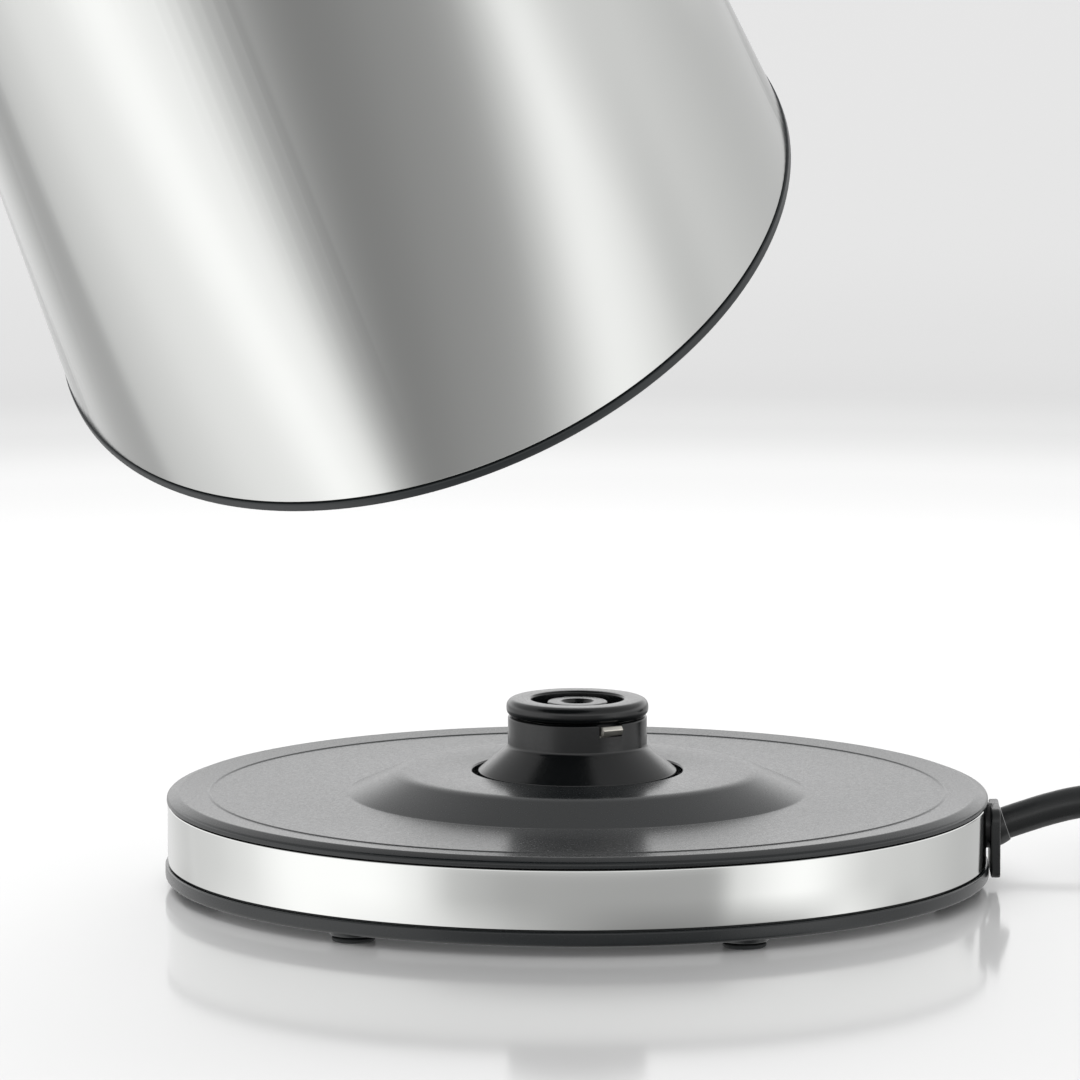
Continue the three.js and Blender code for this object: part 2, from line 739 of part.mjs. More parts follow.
function undersideCover() {
  const wallR = bodyIn(14) - GAP;
  const shell = turned(
    [
      [socketHoleR, COVER_Z],
      [JUG_R - 9, COVER_Z],
      [JUG_R - 6, 0],
      [JUG_R - 0.5, 0],
      [JUG_R, 0.5],
      [JUG_R, RING_H],
      [wallR, RING_H],
      [wallR, 14],
      [wallR - 1.8, 14],
      [wallR - 1.8, COVER_Z + COVER_THICK],
      [socketHoleR, COVER_Z + COVER_THICK],
    ],
    WIDE,
  );
  const holes = undersideScrews.map((s) => at(disc(SCREW_R + SCREW_CLEAR, 0, 12), s));
  return cut(shell, ...holes);
}
add(jug, "underside_cover", undersideCover(), BLACK_PLASTIC);

function jugSocket() {
  const rim = COVER_Z + COVER_THICK + GAP;
  return turned(
    [
      [0, SOCKET_TOP],
      [SOCKET_R, SOCKET_TOP],
      [SOCKET_R, COVER_Z + 5.2],
      [SOCKET_MOUTH_R, COVER_Z],
      [SOCKET_MOUTH_R + SOCKET_WALL + 0.8, COVER_Z],
      [SOCKET_MOUTH_R + SOCKET_WALL + 0.8, rim],
      [SOCKET_MOUTH_R + SOCKET_WALL + 4, rim],
      [SOCKET_MOUTH_R + SOCKET_WALL + 4, rim + 1.6],
      [SOCKET_MOUTH_R + 0.6, rim + 1.6],
      [SOCKET_R + SOCKET_WALL, COVER_Z + 7],
      [SOCKET_R + SOCKET_WALL, SOCKET_TOP + 1.6],
      [0, SOCKET_TOP + 1.6],
    ],
    MIDDLE,
  );
}
add(jug, "jug_socket", jugSocket(), SOFT_BLACK);

const centrePin = turned(
  [
    [0, SOCKET_TOP - GAP - CENTRE_PIN_L],
    [CENTRE_PIN_R, SOCKET_TOP - GAP - CENTRE_PIN_L + 1.2],
    [CENTRE_PIN_R, SOCKET_TOP - GAP],
    [0, SOCKET_TOP - GAP],
  ],
  SMALL,
);
add(jug, "centre_pin", centrePin, BRASS);

// The heated floor: a pressed plate with a turned-down rim, and studs that the underside screws into.
function elementPlate() {
  const r = bodyIn(ELEMENT_Z) - GAP;
  const under = ELEMENT_Z - ELEMENT_THICK;
  const plate = turned(
    [
      [0, under],
      [r - ELEMENT_THICK, under],
      [r - ELEMENT_THICK, under - 7],
      [r, under - 7],
      [r, ELEMENT_Z],
      [0, ELEMENT_Z],
    ],
    WIDE,
  );
  const studs = undersideScrews.map((s) => at(disc(3.4, studLow, under + 0.5), s));
  const pilots = undersideScrews.map((s) => at(disc(SCREW_R + GAP, studLow - 1, under - 2), s));
  return cut(join(plate, ...studs), ...pilots);
}
add(jug, "element_plate", elementPlate(), STEEL);

const spreaderTop = ELEMENT_Z - ELEMENT_THICK - GAP;
const spreaderLow = spreaderTop - SPREADER_THICK;
add(jug, "heat_spreader", disc(SPREADER_R, spreaderLow, spreaderTop, WIDE), ALUMINIUM);

// The sheathed element: most of a ring, with both cold ends turned down.
function heatingElement() {
  const z = spreaderLow - GAP - HEATER_TUBE_R;
  const arc = Array.from({ length: 13 }, (_, i) => around(HEATER_RING_R, 34 + (292 * i) / 12, z));
  const first = around(HEATER_RING_R, 20, z - 3);
  const last = around(HEATER_RING_R, 340, z - 3);
  const ends = [around(HEATER_RING_R, 15, z - 10), around(HEATER_RING_R, 345, z - 10)];
  return bar([ends[0], first, ...arc, last, ends[1]], HEATER_TUBE_R, 8, 26);
}
add(jug, "heating_element", heatingElement(), ALUMINIUM);

const controlLow = SOCKET_TOP + 1.6 + GAP;
const controlTop = spreaderLow - 1.2;
const controlX = 26;
const legX = -30; // the leg that holds the trip rod's inner end
const controlShape = outline([
  [legX, rodZ - 1],
  [legX + 5.5, rodZ - 1],
  [legX + 5.5, controlLow],
  [controlX, controlLow],
  [controlX, controlTop - 2],
  [controlX - 2, controlTop],
  [legX + 2, controlTop],
  [legX, controlTop - 2],
]);
add(jug, "control_unit", plateXZ(controlShape, 30, 1), NATURAL_PLASTIC);

undersideScrews.forEach((s, i) => {
  const screw = turned(
    [
      [0, COVER_Z - GAP - SCREW_HEAD_H],
      [SCREW_HEAD_R, COVER_Z - GAP - SCREW_HEAD_H + 0.6],
      [SCREW_HEAD_R, COVER_Z - GAP],
      [SCREW_R, COVER_Z - GAP],
      [SCREW_R, studLow + 10],
      [0, studLow + 11],
    ],
    SMALL,
  );
  add(jug, `underside_screw_${i + 1}`, at(screw, s), SPRING_STEEL);
});

// ---------- spout and filter ----------
const spoutTop = BODY_TOP - GAP;
const spoutShell = cut(
  spoutCone(0, spoutLow, spoutTop),
  spoutCone(SPOUT_WALL, spoutLow - 1, BODY_TOP + 5),
  bodySolid(GAP),
);
add(jug, "spout", spoutShell, STEEL);

const filterLow = spoutLow + 24;
const filterHigh = BODY_TOP - 9.5;
const filterX = bodyIn(BODY_TOP) - 8;
const frameHalf = 21;
const frameBar = 3;
const filterFrame = cut(
  block(filterX, filterX + 2, -frameHalf, frameHalf, filterLow, filterHigh),
  block(
    filterX - 1,
    filterX + 3,
    -frameHalf + frameBar,
    frameHalf - frameBar,
    filterLow + frameBar,
    filterHigh - frameBar,
  ),
);
add(jug, "filter_frame", filterFrame, NATURAL_PLASTIC);
add(
  jug,
  "filter_mesh",
  block(
    filterX + 0.7,
    filterX + 1.3,
    -frameHalf + frameBar + GAP,
    frameHalf - frameBar - GAP,
    filterLow + frameBar + GAP,
    filterHigh - frameBar - GAP,
  ),
  SPRING_STEEL,
);

// ---------- collar and lid ----------
const collarLow = BODY_TOP + GAP;
const collarTop = collarLow + COLLAR_H;
const collarR = bodyR(BODY_TOP) + 0.8;
const hingeZ = collarTop + HINGE_RISE;
const armHalf = 8;
const lugIn = armHalf + 0.6;
const lugOut = lugIn + 3.4;
const pinR = 1.4;
const latchZ = collarLow + 2.2;
const latchH = 3.0;
const latchW = 10;

const hingeBore = (r, half) => {
  const g = new THREE.CylinderGeometry(r, r, 2 * half, SMALL);
  return g.translate(HINGE_X, 0, 0).translate(0, 0, hingeZ);
};

function collar() {
  const skirtR = bodyIn(BODY_TOP) - GAP;
  const ring = turned(
    [
      [skirtR - 1.6, BODY_TOP - 8],
      [skirtR, BODY_TOP - 8],
      [skirtR, collarLow],
      [collarR, collarLow],
      [collarR, collarTop - 2.4],
      [collarR - 2.2, collarTop],
      [COLLAR_IN_R, collarTop],
      [COLLAR_IN_R, collarLow + 1],
      [skirtR - 1.6, collarLow - 3],
    ],
    WIDE,
  );
  const lug = (side) => {
    const shape = new THREE.Shape();
    shape.moveTo(HINGE_X - 3, collarTop - 1);
    shape.lineTo(HINGE_X + 3.2, collarTop - 1);
    shape.lineTo(HINGE_X + 3, hingeZ);
    shape.absarc(HINGE_X, hingeZ, 3, 0, Math.PI, false);
    const plate = plateXZ(shape, lugOut - lugIn);
    return plate.translate(0, (side * (lugOut + lugIn)) / 2, 0);
  };
  const latchSlot = block(
    -collarR - 2,
    -COLLAR_IN_R + 2,
    -latchW / 2 - GAP,
    latchW / 2 + GAP,
    latchZ - GAP,
    latchZ + latchH + GAP,
  );
  return cut(join(ring, lug(-1), lug(1)), hingeBore(pinR + GAP, lugOut + 1), latchSlot);
}
add(jug, "collar", collar(), BLACK_PLASTIC);

add(jug, "hinge_pin", hingeBore(pinR, lugOut + 0.6), SPRING_STEEL);

const lidR = COLLAR_IN_R - LID_CLEAR;
const lidEdge = collarTop - 2.2;
const lidShell = turned(
  [
    [0, lidEdge + LID_DOME - LID_WALL],
    [lidR * 0.7, lidEdge + LID_DOME * 0.8 - LID_WALL],
    [lidR - 1.4, lidEdge],
    [lidR, lidEdge],
    [lidR, lidEdge + 1.6],
    [lidR * 0.7, lidEdge + LID_DOME * 0.8],
    [0, lidEdge + LID_DOME],
  ],
  WIDE,
);

// The hinge arm is part of the lid's lower half and passes under the edge of the steel top.
const armBox = (grow) =>
  block(
    HINGE_X - 4,
    -lidR + 9 + grow,
    -armHalf - grow,
    armHalf + grow,
    lidEdge - 3,
    hingeZ + 4,
  );
add(jug, "lid_shell", cut(lidShell, armBox(GAP)), STEEL);

function lidInner() {
  const low = lidEdge - 9;
  const high = lidEdge - GAP;
  const cup = turned(
    [
      [0, low],
      [lidR - 6, low],
      [lidR - 1, low + 4],
      [lidR - 1, high],
      [lidR - 3, high],
      [lidR - 3, low + 4.6],
      [lidR - 6.6, low + 1.8],
      [0, low + 1.8],
    ],
    WIDE,
  );
  const shape = new THREE.Shape();
  shape.moveTo(-lidR + 1.2, high - 3);
  shape.lineTo(-lidR + 8, high - 3);
  shape.lineTo(-lidR + 8, high + 1.6);
  shape.lineTo(-lidR + 5, hingeZ);
  shape.lineTo(HINGE_X + 1, hingeZ + 2.6);
  shape.absarc(HINGE_X, hingeZ, 2.8, Math.PI / 2, Math.PI * 1.5, false);
  shape.lineTo(HINGE_X + 2, hingeZ - 2.6);
  shape.lineTo(-lidR + 1.2, hingeZ - 3);
  const arm = plateXZ(shape, 2 * armHalf);
  const sprung = block(
    HINGE_X - 4,
    HINGE_X + 3.2,
    -springHalf - GAP,
    springHalf + GAP,
    hingeZ - 4,
    hingeZ + 4,
  );
  const slot = block(
    -lidR - 2,
    -lidR + 2.2,
    -latchW / 2 - 0.8,
    latchW / 2 + 0.8,
    latchZ - 1.4,
    latchZ + latchH + 0.6,
  );
  return cut(join(cup, arm), hingeBore(pinR + GAP, lugOut), sprung, slot);
}
const springHalf = 4.5;
add(jug, "lid_inner", lidInner(), BLACK_PLASTIC);

const lidSpring = sleeve(pinR + GAP, pinR + 1.1, -springHalf, springHalf, SMALL);
add(jug, "lid_spring", lidSpring.rotateX(Math.PI / 2).translate(HINGE_X, 0, hingeZ), SPRING_STEEL);

// ---------- handle ----------
// Its middle line, by height and distance out from the jug's wall.
const handleLine = new THREE.CatmullRomCurve3(
  [
    [collarLow + 2, -5.3],
    [collarTop - 3.6, 13.0],
    [collarTop - 8, 33.7],
    [BODY_TOP - 22, 45.1],
    [BODY_TOP - 56, 44.9],
    [84, 36.5],
    [58, 25.8],
    [42, 11.7],
    [36, -6.7],
  ].map(([z, out]) => V3(-bodyR(z) - out, 0, z)),
);

// A band along the handle's centre line, between two offsets measured towards the jug.
function handleBand(from, to, u0 = 0, u1 = 1) {
  const count = 16;
  const side = (offset) =>
    Array.from({ length: count + 1 }, (_, i) => {
      const u = u0 + ((u1 - u0) * i) / count;
      const p = handleLine.getPointAt(u);
      const t = handleLine.getTangentAt(u);
      return V2(p.x - t.z * offset, p.z + t.x * offset);
    });
  return new THREE.Shape([...side(from), ...side(to).reverse()]);
}

const half = HANDLE_THICK / 2;
const channel = half - HANDLE_WALL;
const buttonX = -collarR - BUTTON_REACH;
const buttonHalf = BUTTON_W / 2;
const buttonTop = collarTop + 6.2;
const buttonH = 8;
const buttonFloor = buttonTop - buttonH - BUTTON_TRAVEL - 3.5;
const buttonWell = block(
  buttonX - buttonHalf - GAP,
  buttonX + buttonHalf + GAP,
  -buttonHalf - GAP,
  buttonHalf + GAP,
  buttonFloor,
  buttonTop + 5,
);
const latchTail = buttonX + buttonHalf + GAP + 0.4;
const latchPath = block(
  latchTail - 4,
  -COLLAR_IN_R + 2,
  -latchW / 2 - GAP,
  latchW / 2 + GAP,
  latchZ - GAP,
  latchZ + latchH + GAP,
);
const collarSolid = join(
  disc(collarR + GAP, BODY_TOP - 1, collarTop + 20, WIDE),
  block(HINGE_X - 3.6, 6 - COLLAR_IN_R, -lugOut - 0.6, lugOut + 0.6, collarTop - 1, collarTop + 20),
);

const handleOuter = cut(
  plateXZ(handleBand(-half, -GAP / 2), HANDLE_W, 2.5),
  plateXZ(handleBand(-channel, GAP, 0.3, 0.9), HANDLE_W - 2 * HANDLE_WALL),
  bodySolid(GAP),
  collarSolid,
  buttonWell,
  latchPath,
);
add(jug, "handle_outer", handleOuter, BLACK_PLASTIC);

const handleInner = cut(
  plateXZ(handleBand(GAP / 2, half), HANDLE_W, 2.5),
  bodySolid(GAP),
  collarSolid,
  buttonWell,
  latchPath,
);
add(jug, "handle_inner", handleInner, BLACK_PLASTIC);

const tubePoints = Array.from({ length: 8 }, (_, i) => {
  const u = 0.32 + (0.56 * i) / 7;
  const p = handleLine.getPointAt(u);
  const t = handleLine.getTangentAt(u);
  const offset = -channel / 2 - 0.15;
  return [p.x - t.z * offset, 0, p.z + t.x * offset];
});
add(jug, "steam_tube", bar(tubePoints, 2.0, 6, 12), NATURAL_PLASTIC);

// ---------- lid button, its spring and the latch that it draws back ----------
const ramp = 4.5;
const buttonShape = outline([
  [buttonX - buttonHalf, buttonTop - buttonH],
  [buttonX + buttonHalf - ramp, buttonTop - buttonH],
  [buttonX + buttonHalf, buttonTop - buttonH + ramp],
  [buttonX + buttonHalf, buttonTop - 1],
  [buttonX + buttonHalf - 1, buttonTop],
  [buttonX - buttonHalf + 1, buttonTop],
  [buttonX - buttonHalf, buttonTop - 1],
]);
add(jug, "lid_button", plateXZ(buttonShape, BUTTON_W), SOFT_BLACK);

const buttonSpring = sleeve(2.6, 3.4, buttonFloor + GAP, buttonTop - buttonH - GAP, SMALL);
add(jug, "button_spring", buttonSpring.translate(buttonX - 3, 0, 0), SPRING_STEEL);

const latchNose = -lidR + 1.8;
const latchShape = outline([
  [latchTail, latchZ],
  [latchNose - 1.4, latchZ],
  [latchNose, latchZ + 1.4],
  [latchNose, latchZ + latchH],
  [latchTail + 1.6, latchZ + latchH],
  [latchTail, latchZ + latchH - 1.6],
]);
add(jug, "lid_latch", plateXZ(latchShape, latchW), NATURAL_PLASTIC);

// ---------- switch: lever, its pin and housing, and the rod that trips it ----------
const leverZ = 19;
const leverX = -bodyR(leverZ) - LEVER_OUT;
const leverPinR = 1.3;
const housingTop = 24.4;
const housingLow = 11;
const housingBack = leverX - 9.5;
const housingFront = leverX + 15.5;
const leverBore = (r, halfL) =>
  new THREE.CylinderGeometry(r, r, 2 * halfL, SMALL).translate(leverX, 0, leverZ);

const housingShape = outline([
  [housingFront, housingLow],
  [housingBack + 4, housingLow],
  [housingBack, housingLow + 4],
  [housingBack, housingTop - 3],
  [housingBack + 3, housingTop],
  [housingFront, housingTop],
]);
const housingPocket = block(
  housingBack - 1,
  leverX + 3.9,
  -LEVER_W / 2 - 0.5,
  LEVER_W / 2 + 0.5,
  housingLow - 1,
  housingTop - 1.6,
);
const rodPath = block(leverX - 0.5, leverX + 21.5, -3.2, 3.2, rodZ - 0.4, rodZ + rodH + 0.4);
const switchHousing = cut(
  plateXZ(housingShape, HOUSING_W, 1),
  housingPocket,
  rodPath,
  leverBore(leverPinR + GAP, HOUSING_W / 2 - 0.8),
  bodySolid(GAP),
);
add(jug, "switch_housing", switchHousing, BLACK_PLASTIC);

const toeX = leverX + 0.9;
const leverShape = outline([
  [leverX - 24.5, 18.4],
  [leverX - 4.5, 17.0],
  [leverX - 2.1, 14.6],
  [toeX, 14.6],
  [leverX + 2.4, 17.6],
  [leverX + 2.4, 20.6],
  [leverX - 4.5, 21.2],
  [leverX - 22.5, 21.6],
  [leverX - 24.5, 20.4],
]);
const lensX = [leverX - 21.4, leverX - 14.6];
const lensPocket = block(lensX[0] - GAP, lensX[1] + GAP, -4.2, 4.2, 20.3, 24);
const switchLever = cut(
  plateXZ(leverShape, LEVER_W, 0.8),
  leverBore(leverPinR + GAP, LEVER_W),
  lensPocket,
);
add(jug, "switch_lever", switchLever, SOFT_BLACK);
add(jug, "lever_lens", block(...lensX, -3.9, 3.9, 20.6, 21.9), AMBER);
add(jug, "lever_pin", leverBore(leverPinR, HOUSING_W / 2 - 1.1), SPRING_STEEL);
add(
  jug,
  "trip_rod",
  block(toeX + 1.4, legX - 3, -2.6, 2.6, rodZ, rodZ + rodH),
  NATURAL_PLASTIC,
);

// ---------- the jug held above the base, spout down ----------
jug.rotation.y = rad(TILT_DEG);
const held = new THREE.Group();
held.add(jug);
held.rotation.z = rad(TILT_TOWARDS_DEG);
held.position.set(...around(HOLD_FORWARD, TILT_TOWARDS_DEG, HOLD_HEIGHT));
kettle.add(held);

export default kettle;
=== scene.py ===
"""A cordless electric kettle: its steel jug held tilted, to pour, above its round power base.

Shapes are drawn in millimetres. The base's pieces are drawn where they stand. The jug's pieces are drawn
in the jug's own frame, +Z up its axis and +X towards the spout, and HELD carries them to where it is held.
"""

import math

import bmesh
import bpy
from mathutils import Matrix, Vector


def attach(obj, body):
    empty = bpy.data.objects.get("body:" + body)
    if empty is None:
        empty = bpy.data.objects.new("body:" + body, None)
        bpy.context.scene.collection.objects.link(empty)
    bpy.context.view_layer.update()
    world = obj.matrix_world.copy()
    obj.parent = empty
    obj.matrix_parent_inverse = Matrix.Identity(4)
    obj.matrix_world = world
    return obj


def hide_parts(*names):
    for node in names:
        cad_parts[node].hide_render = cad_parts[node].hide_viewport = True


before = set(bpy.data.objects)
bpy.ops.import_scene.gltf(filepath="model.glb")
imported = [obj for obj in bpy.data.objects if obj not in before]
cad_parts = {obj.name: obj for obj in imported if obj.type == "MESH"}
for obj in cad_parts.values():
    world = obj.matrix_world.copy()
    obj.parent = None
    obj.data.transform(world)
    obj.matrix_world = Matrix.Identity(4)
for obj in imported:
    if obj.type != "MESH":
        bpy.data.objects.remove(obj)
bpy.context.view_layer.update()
scene = bpy.context.scene
scene.view_settings.view_transform = "Standard"

MM = 0.001
FULL_TURN = 2 * math.pi
ROUND = 192  # sides of the base and the jug
MIDDLE = 96  # sides of the connector, the socket and the plug
SMALL = 40  # sides of screws, feet and pins
GAP = 0.3  # between neighbouring pieces

# ---------- the power base, millimetres ----------
FLOOR_Z = -3.3
LIP_R = 83.0
RIM_LOW = -1.3
LIP_TOP = 1.6
PAN_R = 81.6
PAN_IN_R = 79.6
BAND_R = 82.5
BAND_IN_R = 81.9
BAND_LOW = 1.9
BAND_TOP = 13.9
PLATE_Z = 15.8
PLATE_EDGE_R = 82.7
SEAT_R = 74.0
MOUND_FOOT_R = 46.2
MOUND_TOP_R = 36.0
MOUND_Z = 20.3
MOUND_HOLE_R = 21.2
PLATE_THICK = 2.2
FEET = [math.radians(-5 + 60 * i) for i in range(6)]
FOOT_RING_R = 77.0
BASE_SCREWS = [math.radians(90 + 120 * i) for i in range(3)]
BASE_SCREW_RING_R = 58.0

# ---------- the connector ----------
SKIRT_R = 20.0
SKIRT_Z = 20.2
POST_R = 14.0
POST_Z = 25.3
POST_TOP = 31.2
WELL_R = 12.0
WELL_Z = 18.2
CAP_R = 14.3
CAP_Z = 31.5
CAP_TOP = 34.8
CAP_OPENING_R = 9.3
BUSH_R = 6.1
BUSH_BORE_R = 2.7
CLIP_TURN = math.radians(-61)

# ---------- the mains lead ----------
CORD_R = 3.3
COIL_R = 33.2
COIL_CENTRE = (150.0, 33.2)
COIL_TURNS = 3.25
COIL_PITCH = 6.7
POINTS_PER_TURN = 20
FLANGE_X = 83.1
PLUG_X = 185.7
PLUG_Y = 73.2
PLUG_Z = 15.2

# ---------- the jug, in its own frame ----------
JUG_R = 75.15
TAPER = math.tan(math.radians(3.72))
BODY_LOW = 2.3
BODY_TOP = 178.0
BODY_WALL = 0.5
SPOUT_X = 46.0
SPOUT_TOP_R = 34.0
SPOUT_FALL = 0.33
SPOUT_LOW = 116.0
SPOUT_WALL = 0.7
COLLAR_LOW = 178.3
COLLAR_TOP = 188.0
COLLAR_IN_R = 56.0
LID_R = 55.4
LID_EDGE = 185.8
HINGE_X = -60.5
HINGE_Z = 192.2
HANDLE_W = 27.0
HANDLE_HALF = 8.5
BUTTON_X = -80.0
BUTTON_TOP = 194.2
LEVER_X = -81.5
LEVER_Z = 19.0
UNDERSIDE_SCREWS = [math.radians(120 * i) for i in range(3)]
UNDERSIDE_SCREW_RING_R = 56.0
UPRIGHT = Matrix.Identity(4)
TILT = math.radians(36.28)
TILT_TOWARDS = math.radians(238.26)
HOLD_FORWARD = 56.8
HOLD_HEIGHT = 131.6
HELD_TURN = Matrix.Rotation(TILT_TOWARDS, 4, "Z") @ Matrix.Rotation(TILT, 4, "Y")
HELD = (
    Matrix.Translation(
        (
            HOLD_FORWARD * math.cos(TILT_TOWARDS),
            HOLD_FORWARD * math.sin(TILT_TOWARDS),
            HOLD_HEIGHT,
        )
    )
    @ HELD_TURN
)


# ---------- the camera ----------
def set_camera():
    data = bpy.data.cameras.new("camera")
    data.sensor_width = 36
    data.lens = 401.8
    data.clip_end = 60
    camera = bpy.data.objects.new("camera", data)
    camera.location = (-0.00752, -2.3956, 0.41657)
    camera.rotation_euler = (math.radians(90 - 8.304), 0, 0)
    scene.collection.objects.link(camera)
    scene.camera = camera


# ---------- materials ----------
def linear(hex_colour):
    """An sRGB hex colour as linear red, green, blue and full alpha."""
    parts = [int(hex_colour[i : i + 2], 16) / 255 for i in (1, 3, 5)]
    return [c / 12.92 if c <= 0.04045 else ((c + 0.055) / 1.055) ** 2.4 for c in parts] + [1.0]


def add_node(tree, kind, settings=None, **inputs):
    """A node with its settings, and its inputs set or, where the value is a socket, linked."""
    made = tree.nodes.new(kind)
    for name, value in (settings or {}).items():
        setattr(made, name, value)
    for name, value in inputs.items():
        key = int(name[1:]) if name[0] == "i" and name[1:].isdigit() else name.replace("_", " ")
        if isinstance(value, bpy.types.NodeSocket):
            tree.links.new(value, made.inputs[key])
        else:
            made.inputs[key].default_value = value
    return made


def new_material(name, colour, roughness, **shader):
    """A material with a Principled shader, and its object coordinates in millimetres."""
    made = bpy.data.materials.new(name)
    made.use_nodes = True
    tree = made.node_tree
    surface = tree.nodes["Principled BSDF"]
    surface.inputs["Base Color"].default_value = linear(colour)
    surface.inputs["Roughness"].default_value = roughness
    for key, value in shader.items():
        surface.inputs[key.replace("_", " ")].default_value = value
    place = add_node(tree, "ShaderNodeTexCoord").outputs["Object"]
    in_mm = add_node(
        tree, "ShaderNodeVectorMath", {"operation": "SCALE"}, Vector=place, Scale=1 / MM
    ).outputs["Vector"]
    return made, tree, surface, in_mm


def vary(tree, pattern, low, high):
    """The pattern's 0.3 to 0.7 spread to low to high."""
    return add_node(
        tree,
        "ShaderNodeMapRange",
        Value=pattern,
        From_Min=0.3,
        From_Max=0.7,
        To_Min=low,
        To_Max=high,
    ).outputs["Result"]


def tint(tree, pattern, first, second):
    """A colour between two, by a pattern."""
    return add_node(
        tree,
        "ShaderNodeMix",
        {"data_type": "RGBA"},
        i0=pattern,
        i6=linear(first),
        i7=linear(second),
    ).outputs[2]


def noise(tree, where, size_mm, detail=2.0, stretch=(1, 1, 1)):
    """Noise whose grains are size_mm across, or longer along an axis whose stretch is above 1."""
    scaled = add_node(
        tree,
        "ShaderNodeMapping",
        Vector=where,
        Scale=[1 / (size_mm * s) for s in stretch],
    ).outputs["Vector"]
    return add_node(tree, "ShaderNodeTexNoise", Vector=scaled, Scale=1.0, Detail=detail).outputs["Fac"]


def raise_surface(tree, surface, height, depth_mm, strength=1.0):
    bump = add_node(
        tree, "ShaderNodeBump", Height=height, Distance=depth_mm * MM, Strength=strength
    )
    tree.links.new(bump.outputs["Normal"], surface.inputs["Normal"])


def polished_stainless(name, turn, roughness):
    """Stainless steel sheet, drawn and satin-polished round its axis: soft, nearly mirror reflections."""
    made, tree, surface, where = new_material(name, "#dbdcda", roughness, Metallic=1.0)
    upright = add_node(
        tree,
        "ShaderNodeMapping",
        Vector=where,
        Rotation=turn.inverted().to_euler(),
    ).outputs["Vector"]
    # polishing lines about 0.35 mm apart, drawn coarser than the real ones so that they show
    lines = noise(tree, upright, 0.35, 2, (90, 90, 1))
    clouds = noise(tree, upright, 45)
    both = add_node(
        tree, "ShaderNodeMath", {"operation": "MULTIPLY_ADD"}, i0=lines, i1=0.35, i2=clouds
    ).outputs["Value"]
    rough = add_node(
        tree,
        "ShaderNodeMapRange",
        Value=both,
        From_Min=0.4,
        From_Max=1.0,
        To_Min=roughness - 0.025,
        To_Max=roughness + 0.035,
    ).outputs["Result"]
    tree.links.new(rough, surface.inputs["Roughness"])
    raise_surface(tree, surface, lines, 0.0005)
    return made


def moulded(name, first, second, roughness, grain_mm, depth_mm, **shader):
    """Injection-moulded plastic or rubber: even colour, a fine sparked grain from the tool."""
    made, tree, surface, where = new_material(name, first, roughness, **shader)
    cloud = noise(tree, where, 22)
    tree.links.new(tint(tree, cloud, first, second), surface.inputs["Base Color"])
    grain = noise(tree, where, grain_mm, 3)
    tree.links.new(
        vary(tree, grain, roughness - 0.04, roughness + 0.05), surface.inputs["Roughness"]
    )
    raise_surface(tree, surface, grain, depth_mm)
    return made


def metal(name, first, second, roughness, grain_mm):
    """Turned, drawn or plated metal with small changes of tone."""
    made, tree, surface, where = new_material(name, first, roughness, Metallic=1.0)
    cloud = noise(tree, where, grain_mm, 4)
    tree.links.new(tint(tree, cloud, first, second), surface.inputs["Base Color"])
    tree.links.new(
        vary(tree, cloud, roughness - 0.06, roughness + 0.08), surface.inputs["Roughness"]
    )
    raise_surface(tree, surface, cloud, 0.01)
    return made


def clear_polycarbonate():
    made, tree, surface, where = new_material(
        "clear_polycarbonate", "#eef3f4", 0.06, IOR=1.58, Transmission_Weight=0.9
    )
    haze = noise(tree, where, 9)
    tree.links.new(vary(tree, haze, 0.04, 0.12), surface.inputs["Roughness"])
    return made


JUG_STEEL = polished_stainless("polished_stainless_jug", HELD_TURN, 0.12)
BAND_STEEL = polished_stainless("polished_stainless_band", Matrix.Identity(4), 0.1)
PLATE_PLASTIC = moulded("moulded_abs_base", "#14181a", "#181c1e", 0.23, 0.5, 0.002)
CONNECTOR_PLASTIC = moulded("moulded_nylon_connector", "#0d0f10", "#111314", 0.2, 0.6, 0.0015)
JUG_PLASTIC = moulded("moulded_polypropylene_jug", "#24282a", "#292d2f", 0.34, 0.5, 0.006)
SOFT_PLASTIC = moulded("moulded_soft_touch_plastic", "#1a1c1d", "#202324", 0.5, 0.4, 0.01)
NATURAL_NYLON = moulded("natural_nylon", "#d5d2c6", "#dcdad1", 0.45, 0.8, 0.006)
CORD_PVC = moulded("cord_pvc_jacket", "#131516", "#191b1c", 0.3, 1.2, 0.012)
FOOT_RUBBER = moulded("foot_rubber", "#17191a", "#222526", 0.8, 0.5, 0.03)
BROWN_PVC = moulded("brown_wire_pvc", "#5d3b25", "#684229", 0.45, 0.8, 0.01)
BLUE_PVC = moulded("blue_wire_pvc", "#2c5d9e", "#3467aa", 0.45, 0.8, 0.01)
RED_LENS = moulded(
    "red_lamp_lens", "#b3221c", "#c22d22", 0.15, 0.9, 0.004, Transmission_Weight=0.35, IOR=1.49
)
CONTACT_BRASS = metal("contact_brass", "#c9a558", "#b8934a", 0.28, 1.5)
TINNED = metal("tinned_contact", "#eeebe2", "#e2dfd6", 0.42, 2.0)
ZINC_STEEL = metal("zinc_plated_steel", "#b4b8ba", "#9da2a5", 0.3, 1.5)
SPRING_WIRE = metal("spring_steel_wire", "#a2a6a8", "#8c9092", 0.32, 1.0)
NICKEL = metal("nickel_plate", "#cfc9bb", "#c3bdaf", 0.22, 2.0)
CAST_ALUMINIUM = metal("cast_aluminium", "#b9bcbd", "#a5a8aa", 0.5, 2.5)
PRESSED_STAINLESS = metal("pressed_stainless", "#c9c9c6", "#bcbcb9", 0.3, 3.0)
CLEAR_PC = clear_polycarbonate()


